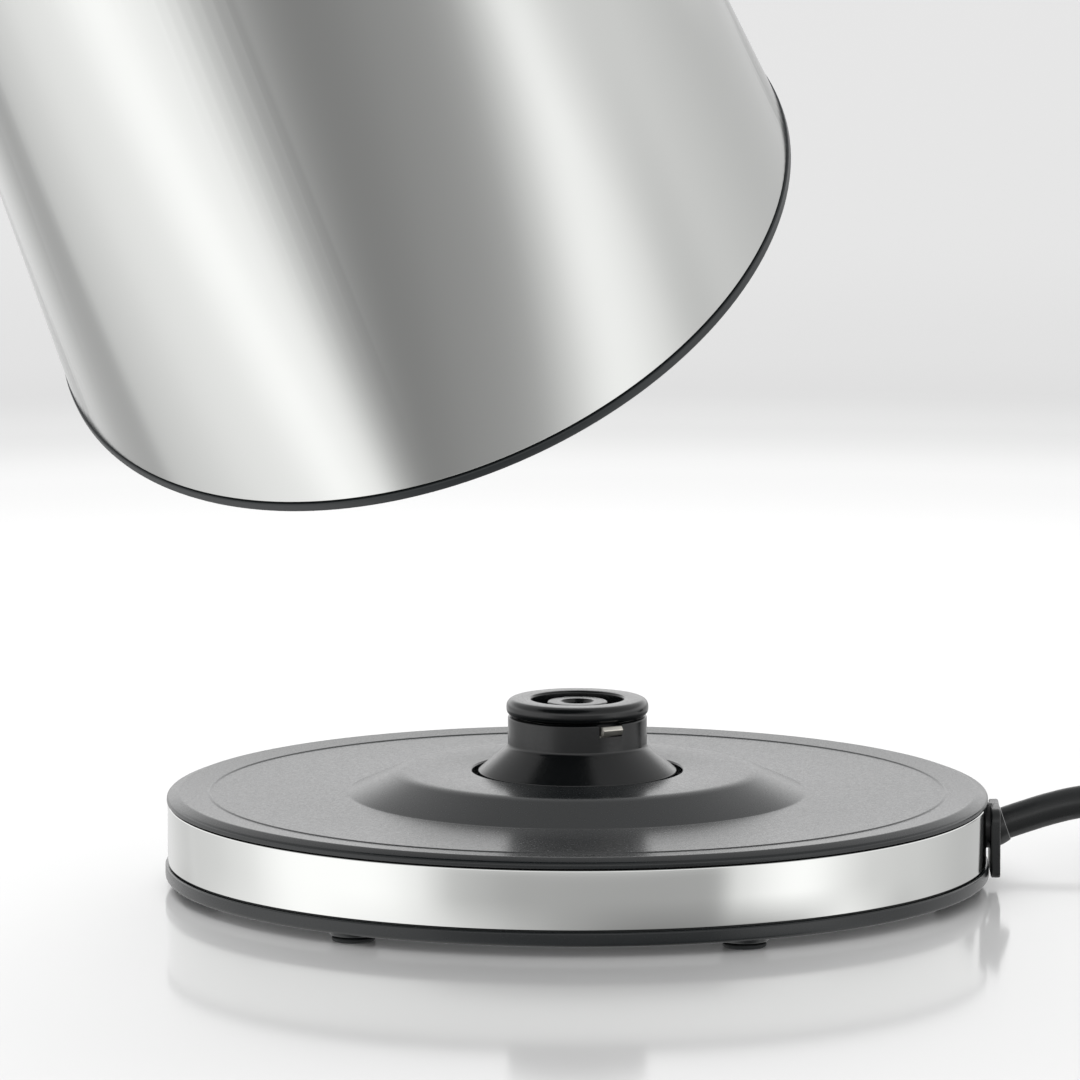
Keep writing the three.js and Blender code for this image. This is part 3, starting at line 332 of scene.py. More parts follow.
# ---------- shapes ----------
def rounded(corners, steps=6):
    """Corners (x, y) or (x, y, radius) as points, each radius drawn as an arc."""
    points = []
    for i, (x, y, *radius) in enumerate(corners):
        if not radius:
            points.append((x, y))
            continue
        corner = Vector((x, y))
        back = (Vector(corners[i - 1][:2]) - corner).normalized()
        on = (Vector(corners[(i + 1) % len(corners)][:2]) - corner).normalized()
        half = back.angle(on) / 2
        centre = corner + (back + on).normalized() * radius[0] / math.sin(half)
        start = corner + back * radius[0] / math.tan(half) - centre
        end = corner + on * radius[0] / math.tan(half) - centre
        turn = start.angle_signed(end)
        for k in range(steps + 1):
            points.append(tuple(centre + Matrix.Rotation(-turn * k / steps, 2) @ start))
    return points


def clean(bm):
    bmesh.ops.remove_doubles(bm, verts=bm.verts, dist=1e-4)
    bmesh.ops.recalc_face_normals(bm, faces=bm.faces)
    return bm


def chain(bm, points, closed):
    """Vertices joined by edges, in the X-Z plane."""
    verts = [bm.verts.new((x, 0, z)) for x, z in points]
    ends = verts[1:] + (verts[:1] if closed else [])
    edges = [bm.edges.new(pair) for pair in zip(verts, ends)]
    return verts, edges


def turned(corners, sides=MIDDLE, steps=6):
    """A profile of radius and height corners spun round Z.

    One that stands off the axis closes on itself.
    """
    bm = bmesh.new()
    on_axis = corners[0][0] == 0 and corners[-1][0] == 0
    verts, edges = chain(bm, rounded(corners, steps), not on_axis)
    bmesh.ops.spin(
        bm,
        geom=verts + edges,
        cent=(0, 0, 0),
        axis=(0, 0, 1),
        angle=FULL_TURN,
        steps=sides,
        use_merge=True,
    )
    return clean(bm)


def soften(bm, edges, width, segments=3):
    if edges:
        bmesh.ops.bevel(
            bm,
            geom=list(edges),
            offset=width,
            segments=segments,
            profile=0.5,
            material=-1,
            affect="EDGES",
            clamp_overlap=True,
        )


def plate(corners, width, edge=0.0, steps=6, segments=3):
    """An outline in the X-Z plane made a plate, centred on Y, with its two rims rounded by edge."""
    bm = bmesh.new()
    _, edges = chain(bm, rounded(corners, steps), True)
    bmesh.ops.contextual_create(bm, geom=edges)
    grown = bmesh.ops.extrude_face_region(bm, geom=bm.faces[:])
    moved = [g for g in grown["geom"] if isinstance(g, bmesh.types.BMVert)]
    bmesh.ops.translate(bm, verts=moved, vec=(0, width, 0))
    bmesh.ops.translate(bm, verts=bm.verts, vec=(0, -width / 2, 0))
    clean(bm)
    if edge:
        rims = [e for e in bm.edges if abs(e.verts[0].co.y - e.verts[1].co.y) < 1e-6]
        soften(bm, rims, edge, segments)
    return bm


def block(low, high, edge=0.0, segments=3):
    """A box between two corners, its edges rounded."""
    bm = bmesh.new()
    bmesh.ops.create_cube(bm, size=1)
    size = [b - a for a, b in zip(low, high)]
    bmesh.ops.scale(bm, vec=size, verts=bm.verts)
    bmesh.ops.translate(bm, vec=[(a + b) / 2 for a, b in zip(low, high)], verts=bm.verts)
    if edge:
        soften(bm, bm.edges, edge, segments)
    return bm


def moved(bm, matrix):
    bmesh.ops.transform(bm, matrix=matrix, verts=bm.verts)
    return bm


def shifted(bm, x=0, y=0, z=0):
    return moved(bm, Matrix.Translation((x, y, z)))


def upright_rod(radius, low, high, edge=0.0, sides=SMALL):
    corners = [(0, low), (radius, low), (radius, high), (0, high)]
    if edge:
        corners[1] += (edge,)
        corners[2] += (edge,)
    return turned(corners, sides, 3)


def cross_rod(radius, half, x, z, edge=0.0):
    """A rod along Y."""
    rod = moved(upright_rod(radius, -half, half, edge), Matrix.Rotation(math.pi / 2, 4, "X"))
    return shifted(rod, x, 0, z)


def together(*parts):
    """Several shapes as one, each a body of its own."""
    whole = bmesh.new()
    for bm in parts:
        mesh = bpy.data.meshes.new("part")
        bm.to_mesh(mesh)
        bm.free()
        whole.from_mesh(mesh)
        bpy.data.meshes.remove(mesh)
    return whole


def as_object(name, bm):
    mesh = bpy.data.meshes.new(name)
    bm.to_mesh(mesh)
    bm.free()
    obj = bpy.data.objects.new(name, mesh)
    scene.collection.objects.link(obj)
    return obj


def worked(bm, operation, tools):
    """bm cut by, joined to or kept inside each tool."""
    obj = as_object("worked", bm)
    cutters = [as_object("tool", tool) for tool in tools]
    for cutter in cutters:
        step = obj.modifiers.new("step", "BOOLEAN")
        step.operation = operation
        step.solver = "EXACT"
        step.object = cutter
    bpy.context.view_layer.update()
    mesh = bpy.data.meshes.new_from_object(
        obj.evaluated_get(bpy.context.evaluated_depsgraph_get())
    )
    result = bmesh.new()
    result.from_mesh(mesh)
    for spare in [obj, *cutters]:
        bpy.data.objects.remove(spare)
    bpy.data.meshes.remove(mesh)
    bmesh.ops.remove_doubles(result, verts=result.verts, dist=1e-4)
    return result


def cut(bm, *tools):
    return worked(bm, "DIFFERENCE", tools)


def joined(bm, *tools):
    return worked(bm, "UNION", tools)


def inside(bm, *tools):
    return worked(bm, "INTERSECT", tools)


def at_each(make, angles, ring_r):
    """A shape repeated on a ring."""
    return [
        shifted(make(), ring_r * math.cos(angle), ring_r * math.sin(angle)) for angle in angles
    ]


def finish(name, bm, material, body, nodes, place=UPRIGHT, sharp=32):
    """A finished piece: in metres, in its place, riding on its body and standing for its CAD nodes."""
    bmesh.ops.transform(bm, matrix=place, verts=bm.verts)
    bmesh.ops.scale(bm, vec=(MM, MM, MM), verts=bm.verts)
    obj = as_object(name, bm)
    obj.data.shade_smooth()
    obj.data.set_sharp_from_angle(angle=math.radians(sharp))
    obj.data.materials.clear()
    obj.data.materials.append(material)
    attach(obj, body)
    if nodes:
        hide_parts(*nodes)
    return obj


def base_piece(name, bm, material, slot, *nodes, body="base"):
    return finish(name, bm, material, body, nodes)


def jug_piece(name, bm, material, slot, *nodes, body="jug", sharp=32):
    return finish(name, bm, material, body, nodes, HELD, sharp)


# ---------- the mains lead: one route, as in the CAD model ----------
def lead_route():
    """The lead's middle line, millimetres.

    Out of the gland, over, down, round the coil and into the plug.
    """
    route = [
        (86.3, 0, 9.35),
        (90, 0, 10.6),
        (95.5, 0, 12.3),
        (101.3, 0, 13.6),
        (108, 0, 14.3),
        (115, 0, 13.6),
        (121, 0, 11.6),
        (126.5, 0, 8.7),
        (132.5, 0, 5.0),
        (139, 0, 1.8),
        (145, 0, 0.3),
    ]
    x, y = COIL_CENTRE
    count = round(POINTS_PER_TURN * COIL_TURNS)
    for i in range(count):
        angle = math.radians(-90) + FULL_TURN * COIL_TURNS * i / count
        rise = max(0.0, COIL_PITCH * COIL_TURNS * i / count)
        route.append((x + COIL_R * math.cos(angle), y + COIL_R * math.sin(angle), rise))
    route += [
        (x + COIL_R, y, 21.8),
        (183.5, 42.5, 21.2),
        (184.0, 51.0, 20.2),
        (184.5, 58.2, 18.9),
        (185.4, 65.2, 16.0),
        (185.7, 70.2, 15.2),
        (185.7, 72.9, 15.2),
    ]
    return [Vector(p) * MM for p in route]


def lay_cord(plug_pieces):
    route = lead_route()
    data = bpy.data.curves.new("mains_lead", "CURVE")
    data.dimensions = "3D"
    data.bevel_depth = CORD_R * MM
    data.bevel_resolution = 6
    data.resolution_u = 6
    data.use_fill_caps = True
    spline = data.splines.new("BEZIER")
    spline.bezier_points.add(len(route) - 1)
    for point, place in zip(spline.bezier_points, route):
        point.co = place
        point.handle_left_type = "AUTO"
        point.handle_right_type = "AUTO"
    cord = bpy.data.objects.new("mains_lead", data)
    scene.collection.objects.link(cord)
    data.materials.append(CORD_PVC)
    cord.visible_glossy = False
    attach(cord, "base")
    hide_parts("mains_cord", "cord_coil", "cord_end")


def plug():
    """A moulded round plug: ribbed strain relief, waisted grip, full face with two pins."""
    lay = Matrix.Translation((PLUG_X, PLUG_Y, PLUG_Z)) @ Matrix.Rotation(-math.pi / 2, 4, "X")
    corners = [(0, 0), (CORD_R + 0.9, 0, 0.5)]
    for i in range(5):
        z = 3.4 + 3.9 * i
        r = CORD_R + 1.1 + 0.33 * i
        corners += [(r, z, 0.3), (r - 1.0, z + 0.5, 0.3), (r - 1.0, z + 1.5, 0.3), (r + 0.2, z + 2, 0.3)]
    corners += [
        (CORD_R + 2.6, 22.4, 0.8),
        (9.5, 24, 1.2),
        (12.5, 30, 4),
        (12.0, 42, 6),
        (18.5, 51, 3),
        (18.5, 62, 1.6),
        (0, 62),
    ]
    body = moved(turned(corners, MIDDLE, 5), lay)
    grip = at_each(lambda: upright_rod(1.0, 31, 41, 0.6, 16), [FULL_TURN * i / 18 for i in range(18)], 12.3)
    whole = together(body, *[moved(g, lay) for g in grip])
    body_piece = base_piece("plug_body_moulded", whole, CORD_PVC, "plug_pvc", "plug_body")
    pins = []
    for side, number in ((-1, 1), (1, 2)):
        pin = turned(
            [(0, 62.3), (2.4, 62.3), (2.4, 79.8, 1.5), (1.1, 81.3, 0.8), (0, 81.3)], SMALL, 4
        )
        pins.append(
            base_piece(
                f"plug_pin_turned_{number}",
                moved(shifted(pin, 9.5 * side), lay),
                NICKEL,
                "nickel_pins",
                f"plug_pin_{number}",
            )
        )
    return [body_piece, *pins]


# ---------- the power base ----------
def port_tool(grow):
    """What is cut from the steel band where the lead comes out: flared at the top."""
    half = 7.0 + grow
    wide = 20 + grow
    flare = [
        (half + (wide - half) * t**2, 5.0 + 9.9 * t * (2 - t)) for t in [i / 10 for i in range(11)]
    ]
    corners = [(-half, -1), (half, -1), *flare, *[(-x, z) for x, z in reversed(flare)]]
    tool = plate(corners, 14)
    return moved(tool, Matrix.Translation((BAND_R - 3, 0, 0)) @ Matrix.Rotation(math.pi / 2, 4, "Z"))


def base_pan():
    shell = turned(
        [
            (0, 0),
            (LIP_R - 3, 0),
            (LIP_R - 3, RIM_LOW),
            (LIP_R, RIM_LOW, 0.8),
            (LIP_R, LIP_TOP, 0.35),
            (PAN_R, LIP_TOP),
            (PAN_R, BAND_TOP),
            (PAN_IN_R, BAND_TOP),
            (PAN_IN_R, 2.2),
            (0, 2.2),
        ],
        ROUND,
    )
    bosses = at_each(lambda: turned([(0, -2.2), (4.7, -2.2, 0.5), (4.9, 1), (0, 1)]), FEET, FOOT_RING_R)
    wells = at_each(lambda: upright_rod(5.6, 1.0, 6.8), BASE_SCREWS, BASE_SCREW_RING_R)
    ribs = [
        turned([(r - 0.6, -0.5), (r + 0.6, -0.5), (r + 0.6, 0.5), (r - 0.6, 0.5)], ROUND)
        for r in (28, 44)
    ]
    heads = at_each(lambda: upright_rod(3.8, -1, 5.0), BASE_SCREWS, BASE_SCREW_RING_R)
    shanks = at_each(lambda: upright_rod(1.8, -1, 8), BASE_SCREWS, BASE_SCREW_RING_R)
    wall = turned(
        [
            (PAN_IN_R, LIP_TOP - 0.2),
            (BAND_R - 0.2, LIP_TOP - 0.2),
            (BAND_R - 0.2, BAND_TOP),
            (PAN_IN_R, BAND_TOP),
        ],
        ROUND,
    )
    port = inside(port_tool(0), wall)
    seat = block((FLANGE_X - GAP, -8.8, -3), (BAND_R + 5, 8.8, 15))
    pan = cut(joined(shell, *bosses, *wells, port), *heads, *shanks, seat, *ribs)
    base_piece("base_pan_moulded", pan, PLATE_PLASTIC, "grey_black_plastic", "base_pan")


def trim_band():
    band = turned(
        [
            (BAND_IN_R, BAND_LOW, 0.15),
            (BAND_R, BAND_LOW, 0.3),
            (BAND_R, BAND_TOP, 0.3),
            (BAND_IN_R, BAND_TOP, 0.15),
        ],
        ROUND,
        4,
    )
    base_piece("trim_band_rolled", cut(band, port_tool(GAP)), BAND_STEEL, "satin_steel", "trim_band")


def base_cover():
    under = PLATE_Z - PLATE_THICK
    shell = turned(
        [
            (MOUND_HOLE_R, MOUND_Z, 0.4),
            (MOUND_TOP_R, MOUND_Z, 7),
            (MOUND_FOOT_R, PLATE_Z, 1.5),
            (SEAT_R - 0.45, PLATE_Z, 0.2),
            (SEAT_R, PLATE_Z + 0.2, 0.15),
            (SEAT_R + 0.45, PLATE_Z, 0.2),
            (80.4, PLATE_Z + 0.4, 1.5),
            (PLATE_EDGE_R, PLATE_Z - 0.5, 0.8),
            (PLATE_EDGE_R, BAND_TOP + GAP, 0.2),
            (PAN_IN_R - GAP, BAND_TOP + GAP),
            (PAN_IN_R - GAP, under),
            (MOUND_FOOT_R - 1, under),
            (MOUND_TOP_R - 1, MOUND_Z - PLATE_THICK),
            (MOUND_HOLE_R, MOUND_Z - PLATE_THICK),
        ],
        ROUND,
    )
    base_piece("base_cover_moulded", shell, PLATE_PLASTIC, "grey_black_plastic", "base_cover")


def feet():
    for i, angle in enumerate(FEET):
        pad = turned([(0, -3.3), (4.3, -3.3, 0.35), (4.3, -2.5, 0.2), (0, -2.5)], SMALL, 4)
        shifted(pad, FOOT_RING_R * math.cos(angle), FOOT_RING_R * math.sin(angle))
        base_piece(f"foot_pad_moulded_{i + 1}", pad, FOOT_RUBBER, "foot_rubber", f"foot_pad_{i + 1}")


def cross_head_screw(head_low, head_top, tip):
    """A pan-head screw, head down, with a cross recess."""
    screw = turned(
        [
            (0, head_low),
            (2.6, head_low + 0.1, 1.2),
            (3.4, head_top - 0.7, 0.5),
            (3.4, head_top),
            (1.4, head_top),
            (1.4, tip - 1),
            (0, tip),
        ],
        SMALL,
        4,
    )
    arms = [
        moved(block((-1.9, -0.4, head_low - 1), (1.9, 0.4, head_low + 1.1)), Matrix.Rotation(turn, 4, "Z"))
        for turn in (0, math.pi / 2)
    ]
    return cut(screw, *arms)


def base_screws():
    for i, angle in enumerate(BASE_SCREWS):
        screw = cross_head_screw(2.7, 4.7, 12.2)
        shifted(screw, BASE_SCREW_RING_R * math.cos(angle), BASE_SCREW_RING_R * math.sin(angle))
        base_piece(f"base_screw_turned_{i + 1}", screw, ZINC_STEEL, "spring_steel", f"base_screw_{i + 1}")


# ---------- the connector ----------
def connector():
    body = turned(
        [
            (4.7, 15.6),
            (26, 15.6),
            (26, 17.8),
            (20.2, 17.8),
            (SKIRT_R, SKIRT_Z, 0.5),
            (POST_R, POST_Z, 1.2),
            (POST_R, POST_TOP, 0.25),
            (WELL_R, POST_TOP, 0.25),
            (WELL_R, WELL_Z),
            (6.3, WELL_Z),
            (6.3, 31.9, 0.2),
            (4.7, 31.9, 0.2),
        ]
    )
    slot = moved(
        block((WELL_R - 1, -2.6, POST_TOP - 2.4), (POST_R + 1, 2.6, POST_TOP + 1), 0.15),
        Matrix.Rotation(CLIP_TURN, 4, "Z"),
    )
    body = cut(body, slot)
    base_piece(
        "connector_body_moulded", body, CONNECTOR_PLASTIC, "grey_black_plastic", "connector_body"
    )
    cap = turned(
        [
            (CAP_OPENING_R, CAP_Z),
            (CAP_R, CAP_Z, 1.2),
            (CAP_R, CAP_TOP, 1.5),
            (CAP_OPENING_R, CAP_TOP, 0.5),
        ]
    )
    base_piece("connector_cap_moulded", cap, CONNECTOR_PLASTIC, "grey_black_plastic", "connector_cap")
    bush = turned(
        [
            (BUSH_BORE_R, 21.3),
            (4.4, 21.3),
            (4.4, 32.2),
            (BUSH_R, 32.2, 0.2),
            (BUSH_R, 34.2, 0.4),
            (BUSH_BORE_R + 0.7, 34.2),
            (BUSH_BORE_R, 33.5),
        ]
    )
    base_piece(
        "swivel_bush_moulded",
        bush,
        CONNECTOR_PLASTIC,
        "grey_black_plastic",
        "swivel_bush",
        body="swivel",
    )
    shutter = turned([(6.8, 29.6, 0.2), (11.5, 29.6, 0.2), (11.5, 31.2, 0.4), (6.8, 31.2, 0.4)])
    base_piece(
        "shutter_ring_moulded",
        shutter,
        SOFT_PLASTIC,
        "dark_plastic",
        "shutter_ring",
        body="shutter",
    )
    for name, low, high in (("inner", 6.6, 8.45), ("outer", 9.85, 10.8)):
        ring = turned([(low, 18.5), (high, 18.5), (high, 25.3, 0.3), (low, 25.3, 0.3)])
        base_piece(f"{name}_contact_turned", ring, CONTACT_BRASS, "brass", f"{name}_contact_ring")


def contact_clip():
    """The earth contact: a bent strip whose nose stands in the slot of the post."""
    strip = plate(
        [
            (11.65, 18.5),
            (12.0 - GAP, 18.5),
            (12.0 - GAP, 29.3, 0.3),
            (14.4, 29.1, 0.3),
            (14.9, 30.3, 0.3),
            (14.2, 31.0, 0.3),
            (11.65, 30.6),
        ],
        4.4,
        0.12,
    )
    base_piece(
        "contact_clip_bent",
        moved(strip, Matrix.Rotation(CLIP_TURN, 4, "Z")),
        TINNED,
        "spring_steel",
        "contact_clip",
    )


def coil_spring(radius, wire, low, high, turns):
    """A round wire wound upwards, its section spun round Z as it climbs."""
    bm = bmesh.new()
    section = bmesh.ops.create_circle(bm, segments=8, radius=wire)["verts"]
    stand = Matrix.Translation((radius, 0, low + wire)) @ Matrix.Rotation(math.pi / 2, 4, "X")
    bmesh.ops.transform(bm, matrix=stand, verts=section)
    rise = high - low - 2 * wire
    steps = round(20 * turns)
    bmesh.ops.spin(
        bm,
        geom=bm.edges[:],
        cent=(0, 0, 0),
        axis=(0, 0, 1),
        dvec=(0, 0, rise / steps),
        angle=FULL_TURN * turns,
        steps=steps,
    )
    bmesh.ops.holes_fill(bm, edges=bm.edges)
    return clean(bm)


def gland():
    """The flange, flared towards its foot, and the shoulder that the lead leaves."""
    flange = plate(
        [(-8.5, -0.6, 1.2), (8.5, -0.6, 1.2), (8.5, 13.2, 2.5), (-8.5, 13.2, 2.5)], 1.9, 0.35
    )
    moved(flange, Matrix.Translation((FLANGE_X + 0.95, 0, 0)) @ Matrix.Rotation(math.pi / 2, 4, "Z"))
    neck = shifted(
        moved(upright_rod(4.6, -9.5, 0.5), Matrix.Rotation(math.pi / 2, 4, "Y")), FLANGE_X, 0, 8.9
    )
    slope = Matrix.Translation((86.3, 0, 9.35)) @ Matrix.Rotation(math.radians(90 - 19), 4, "Y")
    corners = [(0, -4.3), (4.2, -4.3), (3.9, -1.6, 0.8), (CORD_R + 0.2, -0.06, 0.2), (0, -0.06)]
    shoulder = moved(turned(corners, MIDDLE), slope)
    base_piece("cord_gland_moulded", joined(flange, neck, shoulder), CORD_PVC, "plug_pvc", "cord_gland")


# ---------- the jug ----------
def body_r(z):
    return JUG_R - 0.15 - TAPER * z


def body_in(z):
    return body_r(z) - BODY_WALL


def body_tool(grow):
    """The jug's outer shape, grown, to trim what meets its wall."""
    return turned(
        [(0, -5), (body_r(-5) + grow, -5), (body_r(208) + grow, 208), (0, 208)], ROUND
    )


def window_tool(grow):
    return block((-90, -5.7 - grow, 52 - grow), (-40, 5.7 + grow, 148 + grow))


def spout_r(z):
    return SPOUT_TOP_R - SPOUT_FALL * (BODY_TOP - z)


def jug_body():
    shell = turned(
        [
            (body_in(BODY_LOW), BODY_LOW, 0.15),
            (body_r(BODY_LOW), BODY_LOW, 0.25),
            (body_r(BODY_TOP), BODY_TOP, 0.2),
            (body_in(BODY_TOP), BODY_TOP, 0.2),
        ],
        ROUND,
        3,
    )
    mouth = shifted(
        turned(
            [(0, 138), (spout_r(138) - 1.7, 138), (spout_r(176) - 1.7, 176), (0, 176)], MIDDLE
        ),
        SPOUT_X,
    )
    rod_hole = block((-90, -4, 13.6), (-50, 4, 17.8))
    jug_piece(
        "jug_body_drawn",
        cut(shell, mouth, window_tool(GAP), rod_hole),
        JUG_STEEL,
        "satin_steel",
        "jug_body",
    )


def level_window():
    pane = inside(
        turned(
            [
                (body_in(52) - 1, 52),
                (body_r(52) - 0.1, 52),
                (body_r(148) - 0.1, 148),
                (body_in(148) - 1, 148),
            ],
            ROUND,
        ),
        window_tool(0),
    )
    rim = inside(
        turned(
            [
                (body_in(49) - 2.4, 49),
                (body_in(49) - GAP, 49),
                (body_in(151) - GAP, 151),
                (body_in(151) - 2.4, 151),
            ],
            ROUND,
        ),
        window_tool(3),
    )
    jug_piece("level_window_moulded", joined(pane, rim), CLEAR_PC, "clear_window", "level_window")
    # plain level marks, moulded on the pane
    marks = []
    for i in range(9):
        z = 60 + 10 * i
        half = 3.6 if i % 4 == 0 else 2.0
        x = -body_r(z) - 0.02
        marks.append(block((x - 0.12, -half, z - 0.3), (x + 0.4, half, z + 0.3), 0.05, 1))
    jug_piece("level_marks", together(*marks), JUG_PLASTIC, "grey_black_plastic")


def underside():
    wall = body_in(14) - GAP
    cover = turned(
        [
            (25.6, 6.0, 0.4),
            (JUG_R - 9, 6.0, 0.8),
            (JUG_R - 6, 0, 0.8),
            (JUG_R, 0, 0.6),
            (JUG_R, 2.0, 0.3),
            (wall, 2.0),
            (wall, 14),
            (wall - 1.8, 14),
            (wall - 1.8, 8.2),
            (25.6, 8.2),
        ],
        ROUND,
    )
    holes = at_each(lambda: upright_rod(1.8, 0, 12), UNDERSIDE_SCREWS, UNDERSIDE_SCREW_RING_R)
    jug_piece(
        "underside_cover_moulded", cut(cover, *holes), JUG_PLASTIC, "grey_black_plastic", "underside_cover"
    )
    socket = turned(
        [
            (0, 20.6),
            (17, 20.6, 0.8),
            (17, 11.2, 1.5),
            (22.6, 6.0, 0.5),
            (25.2, 6.0, 0.4),
            (25.2, 8.5),
            (28.4, 8.5),
            (28.4, 10.1),
            (23.2, 10.1),
            (18.8, 13),
            (18.8, 22.2),
            (0, 22.2),
        ]
    )
    jug_piece("jug_socket_moulded", socket, SOFT_PLASTIC, "dark_plastic", "jug_socket")
    pin = turned([(0, 12.1), (0.9, 12.3, 0.4), (1.3, 13.3, 0.6), (1.3, 20.3), (0, 20.3)], SMALL, 4)
    jug_piece("centre_pin_turned", pin, CONTACT_BRASS, "brass", "centre_pin")
    for i, angle in enumerate(UNDERSIDE_SCREWS):
        screw = cross_head_screw(3.7, 5.7, 25)
        shifted(
            screw, UNDERSIDE_SCREW_RING_R * math.cos(angle), UNDERSIDE_SCREW_RING_R * math.sin(angle)
        )
        jug_piece(
            f"underside_screw_turned_{i + 1}", screw, ZINC_STEEL, "spring_steel", f"underside_screw_{i + 1}"
        )


def spout():
    def cone(shrink, low, high):
        return shifted(
            turned(
                [(0, low), (spout_r(low) - shrink, low), (spout_r(high) - shrink, high), (0, high)],
                ROUND,
            ),
            SPOUT_X,
        )

    top = BODY_TOP - GAP
    shell = cut(cone(0, SPOUT_LOW, top), cone(SPOUT_WALL, SPOUT_LOW - 1, BODY_TOP + 5), body_tool(GAP))
    jug_piece("spout_pressed", shell, JUG_STEEL, "satin_steel", "spout")


def filter_insert():
    wires = []
    low, high = 143.3, 165.2
    count = 17
    for i in range(count):
        z = low + (high - low) * (i + 0.5) / count
        rod = moved(upright_rod(0.17, -17.6, 17.6, 0, 6), Matrix.Rotation(math.pi / 2, 4, "X"))
        wires.append(shifted(rod, 55.75, 0, z))
    across = 27
    for i in range(across):
        y = -17.4 + 34.8 * (i + 0.5) / across
        wires.append(shifted(upright_rod(0.17, low, high, 0, 6), 56.05, y, 0))
    jug_piece("filter_mesh_woven", together(*wires), SPRING_WIRE, "spring_steel", "filter_mesh")


# ---------- collar and lid ----------
def hinge_tool(radius, half):
    return cross_rod(radius, half, HINGE_X, HINGE_Z)


def collar():
    skirt = body_in(BODY_TOP) - GAP
    outer = body_r(BODY_TOP) + 0.8
    ring = turned(
        [
            (skirt - 1.6, 170),
            (skirt, 170),
            (skirt, COLLAR_LOW),
            (outer, COLLAR_LOW, 0.3),
            (outer, COLLAR_TOP, 3.0),
            (COLLAR_IN_R, COLLAR_TOP, 0.8),
            (COLLAR_IN_R, 179.3),
            (skirt - 1.6, 175.3),
        ],
        ROUND,
        8,
    )
    lugs = [
        shifted(
            plate(
                [
                    (HINGE_X - 3, 187),
                    (HINGE_X + 3.2, 187),
                    (HINGE_X + 3.0, 195.2, 2.7),
                    (HINGE_X - 3.0, 195.2, 2.7),
                ],
                3.4,
                0.4,
            ),
            0,
            side * 10.3,
        )
        for side in (-1, 1)
    ]
    latch_slot = block((-66, -5.3, 180.2), (-54, 5.3, 183.8))
    jug_piece(
        "collar_moulded",
        cut(joined(ring, *lugs), hinge_tool(1.7, 13), latch_slot),
        JUG_PLASTIC,
        "grey_black_plastic",
        "collar",
    )
    pin = cross_rod(1.4, 12.6, HINGE_X, HINGE_Z, 0.3)
    jug_piece("hinge_pin_turned", pin, ZINC_STEEL, "spring_steel", "hinge_pin")
    spring = moved(coil_spring(2.15, 0.36, -4.5, 4.5, 8), Matrix.Rotation(math.pi / 2, 4, "X"))
    shifted(spring, HINGE_X, 0, HINGE_Z)
    jug_piece("lid_spring_wound", spring, SPRING_WIRE, "spring_steel", "lid_spring")


def lid():
    rise = [(LID_R * k / 12, LID_EDGE + 1.7 + 4.8 * (1 - (k / 12) ** 2.2)) for k in range(12)]
    shell = turned(
        [
            (0, LID_EDGE + 5.4),
            (LID_R * 0.7, LID_EDGE + 3.0),
            (LID_R - 1.4, LID_EDGE),
            (LID_R, LID_EDGE, 0.3),
            (LID_R, LID_EDGE + 1.7, 0.6),
            *reversed(rise),
        ],
        ROUND,
    )
    arm_room = block((-65, -8.3, 182), (-46.4, 8.3, 197))
    jug_piece("lid_shell_pressed", cut(shell, arm_room), JUG_STEEL, "satin_steel", "lid_shell", body="lid")
    cup = turned(
        [
            (0, 176.8),
            (LID_R - 6, 176.8, 1.5),
            (LID_R - 1, 180.8, 1.0),
            (LID_R - 1, 185.5),
            (LID_R - 3, 185.5),
            (LID_R - 3, 181.4),
            (LID_R - 6.6, 178.6),
            (0, 178.6),
        ],
        ROUND,
    )
    arm = plate(
        [
            (-54.2, 182.5),
            (-47.4, 182.5),
            (-47.4, 187.1, 1.0),
            (-50.4, 192.2, 2.0),
            (HINGE_X + 1, 194.8, 2.0),
            (HINGE_X - 2.7, 194.9, 2.5),
            (HINGE_X - 2.7, 189.5, 2.5),
            (-54.2, 189.2),
        ],
        16,
        0.4,
    )
    spring_room = block((HINGE_X - 4, -4.8, 188), (HINGE_X + 3.2, 4.8, 197))
    latch_room = block((-57.4, -5.8, 179.1), (-53.2, 5.8, 184.1))
    jug_piece(
        "lid_inner_moulded",
        cut(joined(cup, arm), hinge_tool(1.7, 12), spring_room, latch_room),
        JUG_PLASTIC,
        "grey_black_plastic",
        "lid_inner",
        body="lid",
    )


# ---------- handle ----------
HANDLE_POINTS = [
    (-58, COLLAR_LOW + 2),
    (-76, COLLAR_TOP - 3.6),
    (-97, COLLAR_TOP - 8),
    (-110, 156),
    (-112, 122),
    (-106, 84),
    (-97, 58),
    (-84, 42),
    (-66, 36),
]


def handle_line(per_span=10):
    """A centripetal Catmull-Rom line through the handle's points."""
    points = [Vector(p) for p in HANDLE_POINTS]
    points = [2 * points[0] - points[1], *points, 2 * points[-1] - points[-2]]
    line = []
    for p0, p1, p2, p3 in zip(points, points[1:], points[2:], points[3:]):
        t1 = math.sqrt((p1 - p0).length)
        t2 = t1 + math.sqrt((p2 - p1).length)
        t3 = t2 + math.sqrt((p3 - p2).length)
        for k in range(per_span):
            t = t1 + (t2 - t1) * k / per_span
            a1 = p0 * (t1 - t) / t1 + p1 * t / t1
            a2 = p1 * (t2 - t) / (t2 - t1) + p2 * (t - t1) / (t2 - t1)
            a3 = p2 * (t3 - t) / (t3 - t2) + p3 * (t - t2) / (t3 - t2)
            b1 = a1 * (t2 - t) / t2 + a2 * t / t2
            b2 = a2 * (t3 - t) / (t3 - t1) + a3 * (t - t1) / (t3 - t1)
            line.append(b1 * (t2 - t) / (t2 - t1) + b2 * (t - t1) / (t2 - t1))
    return [*line, points[-2]]


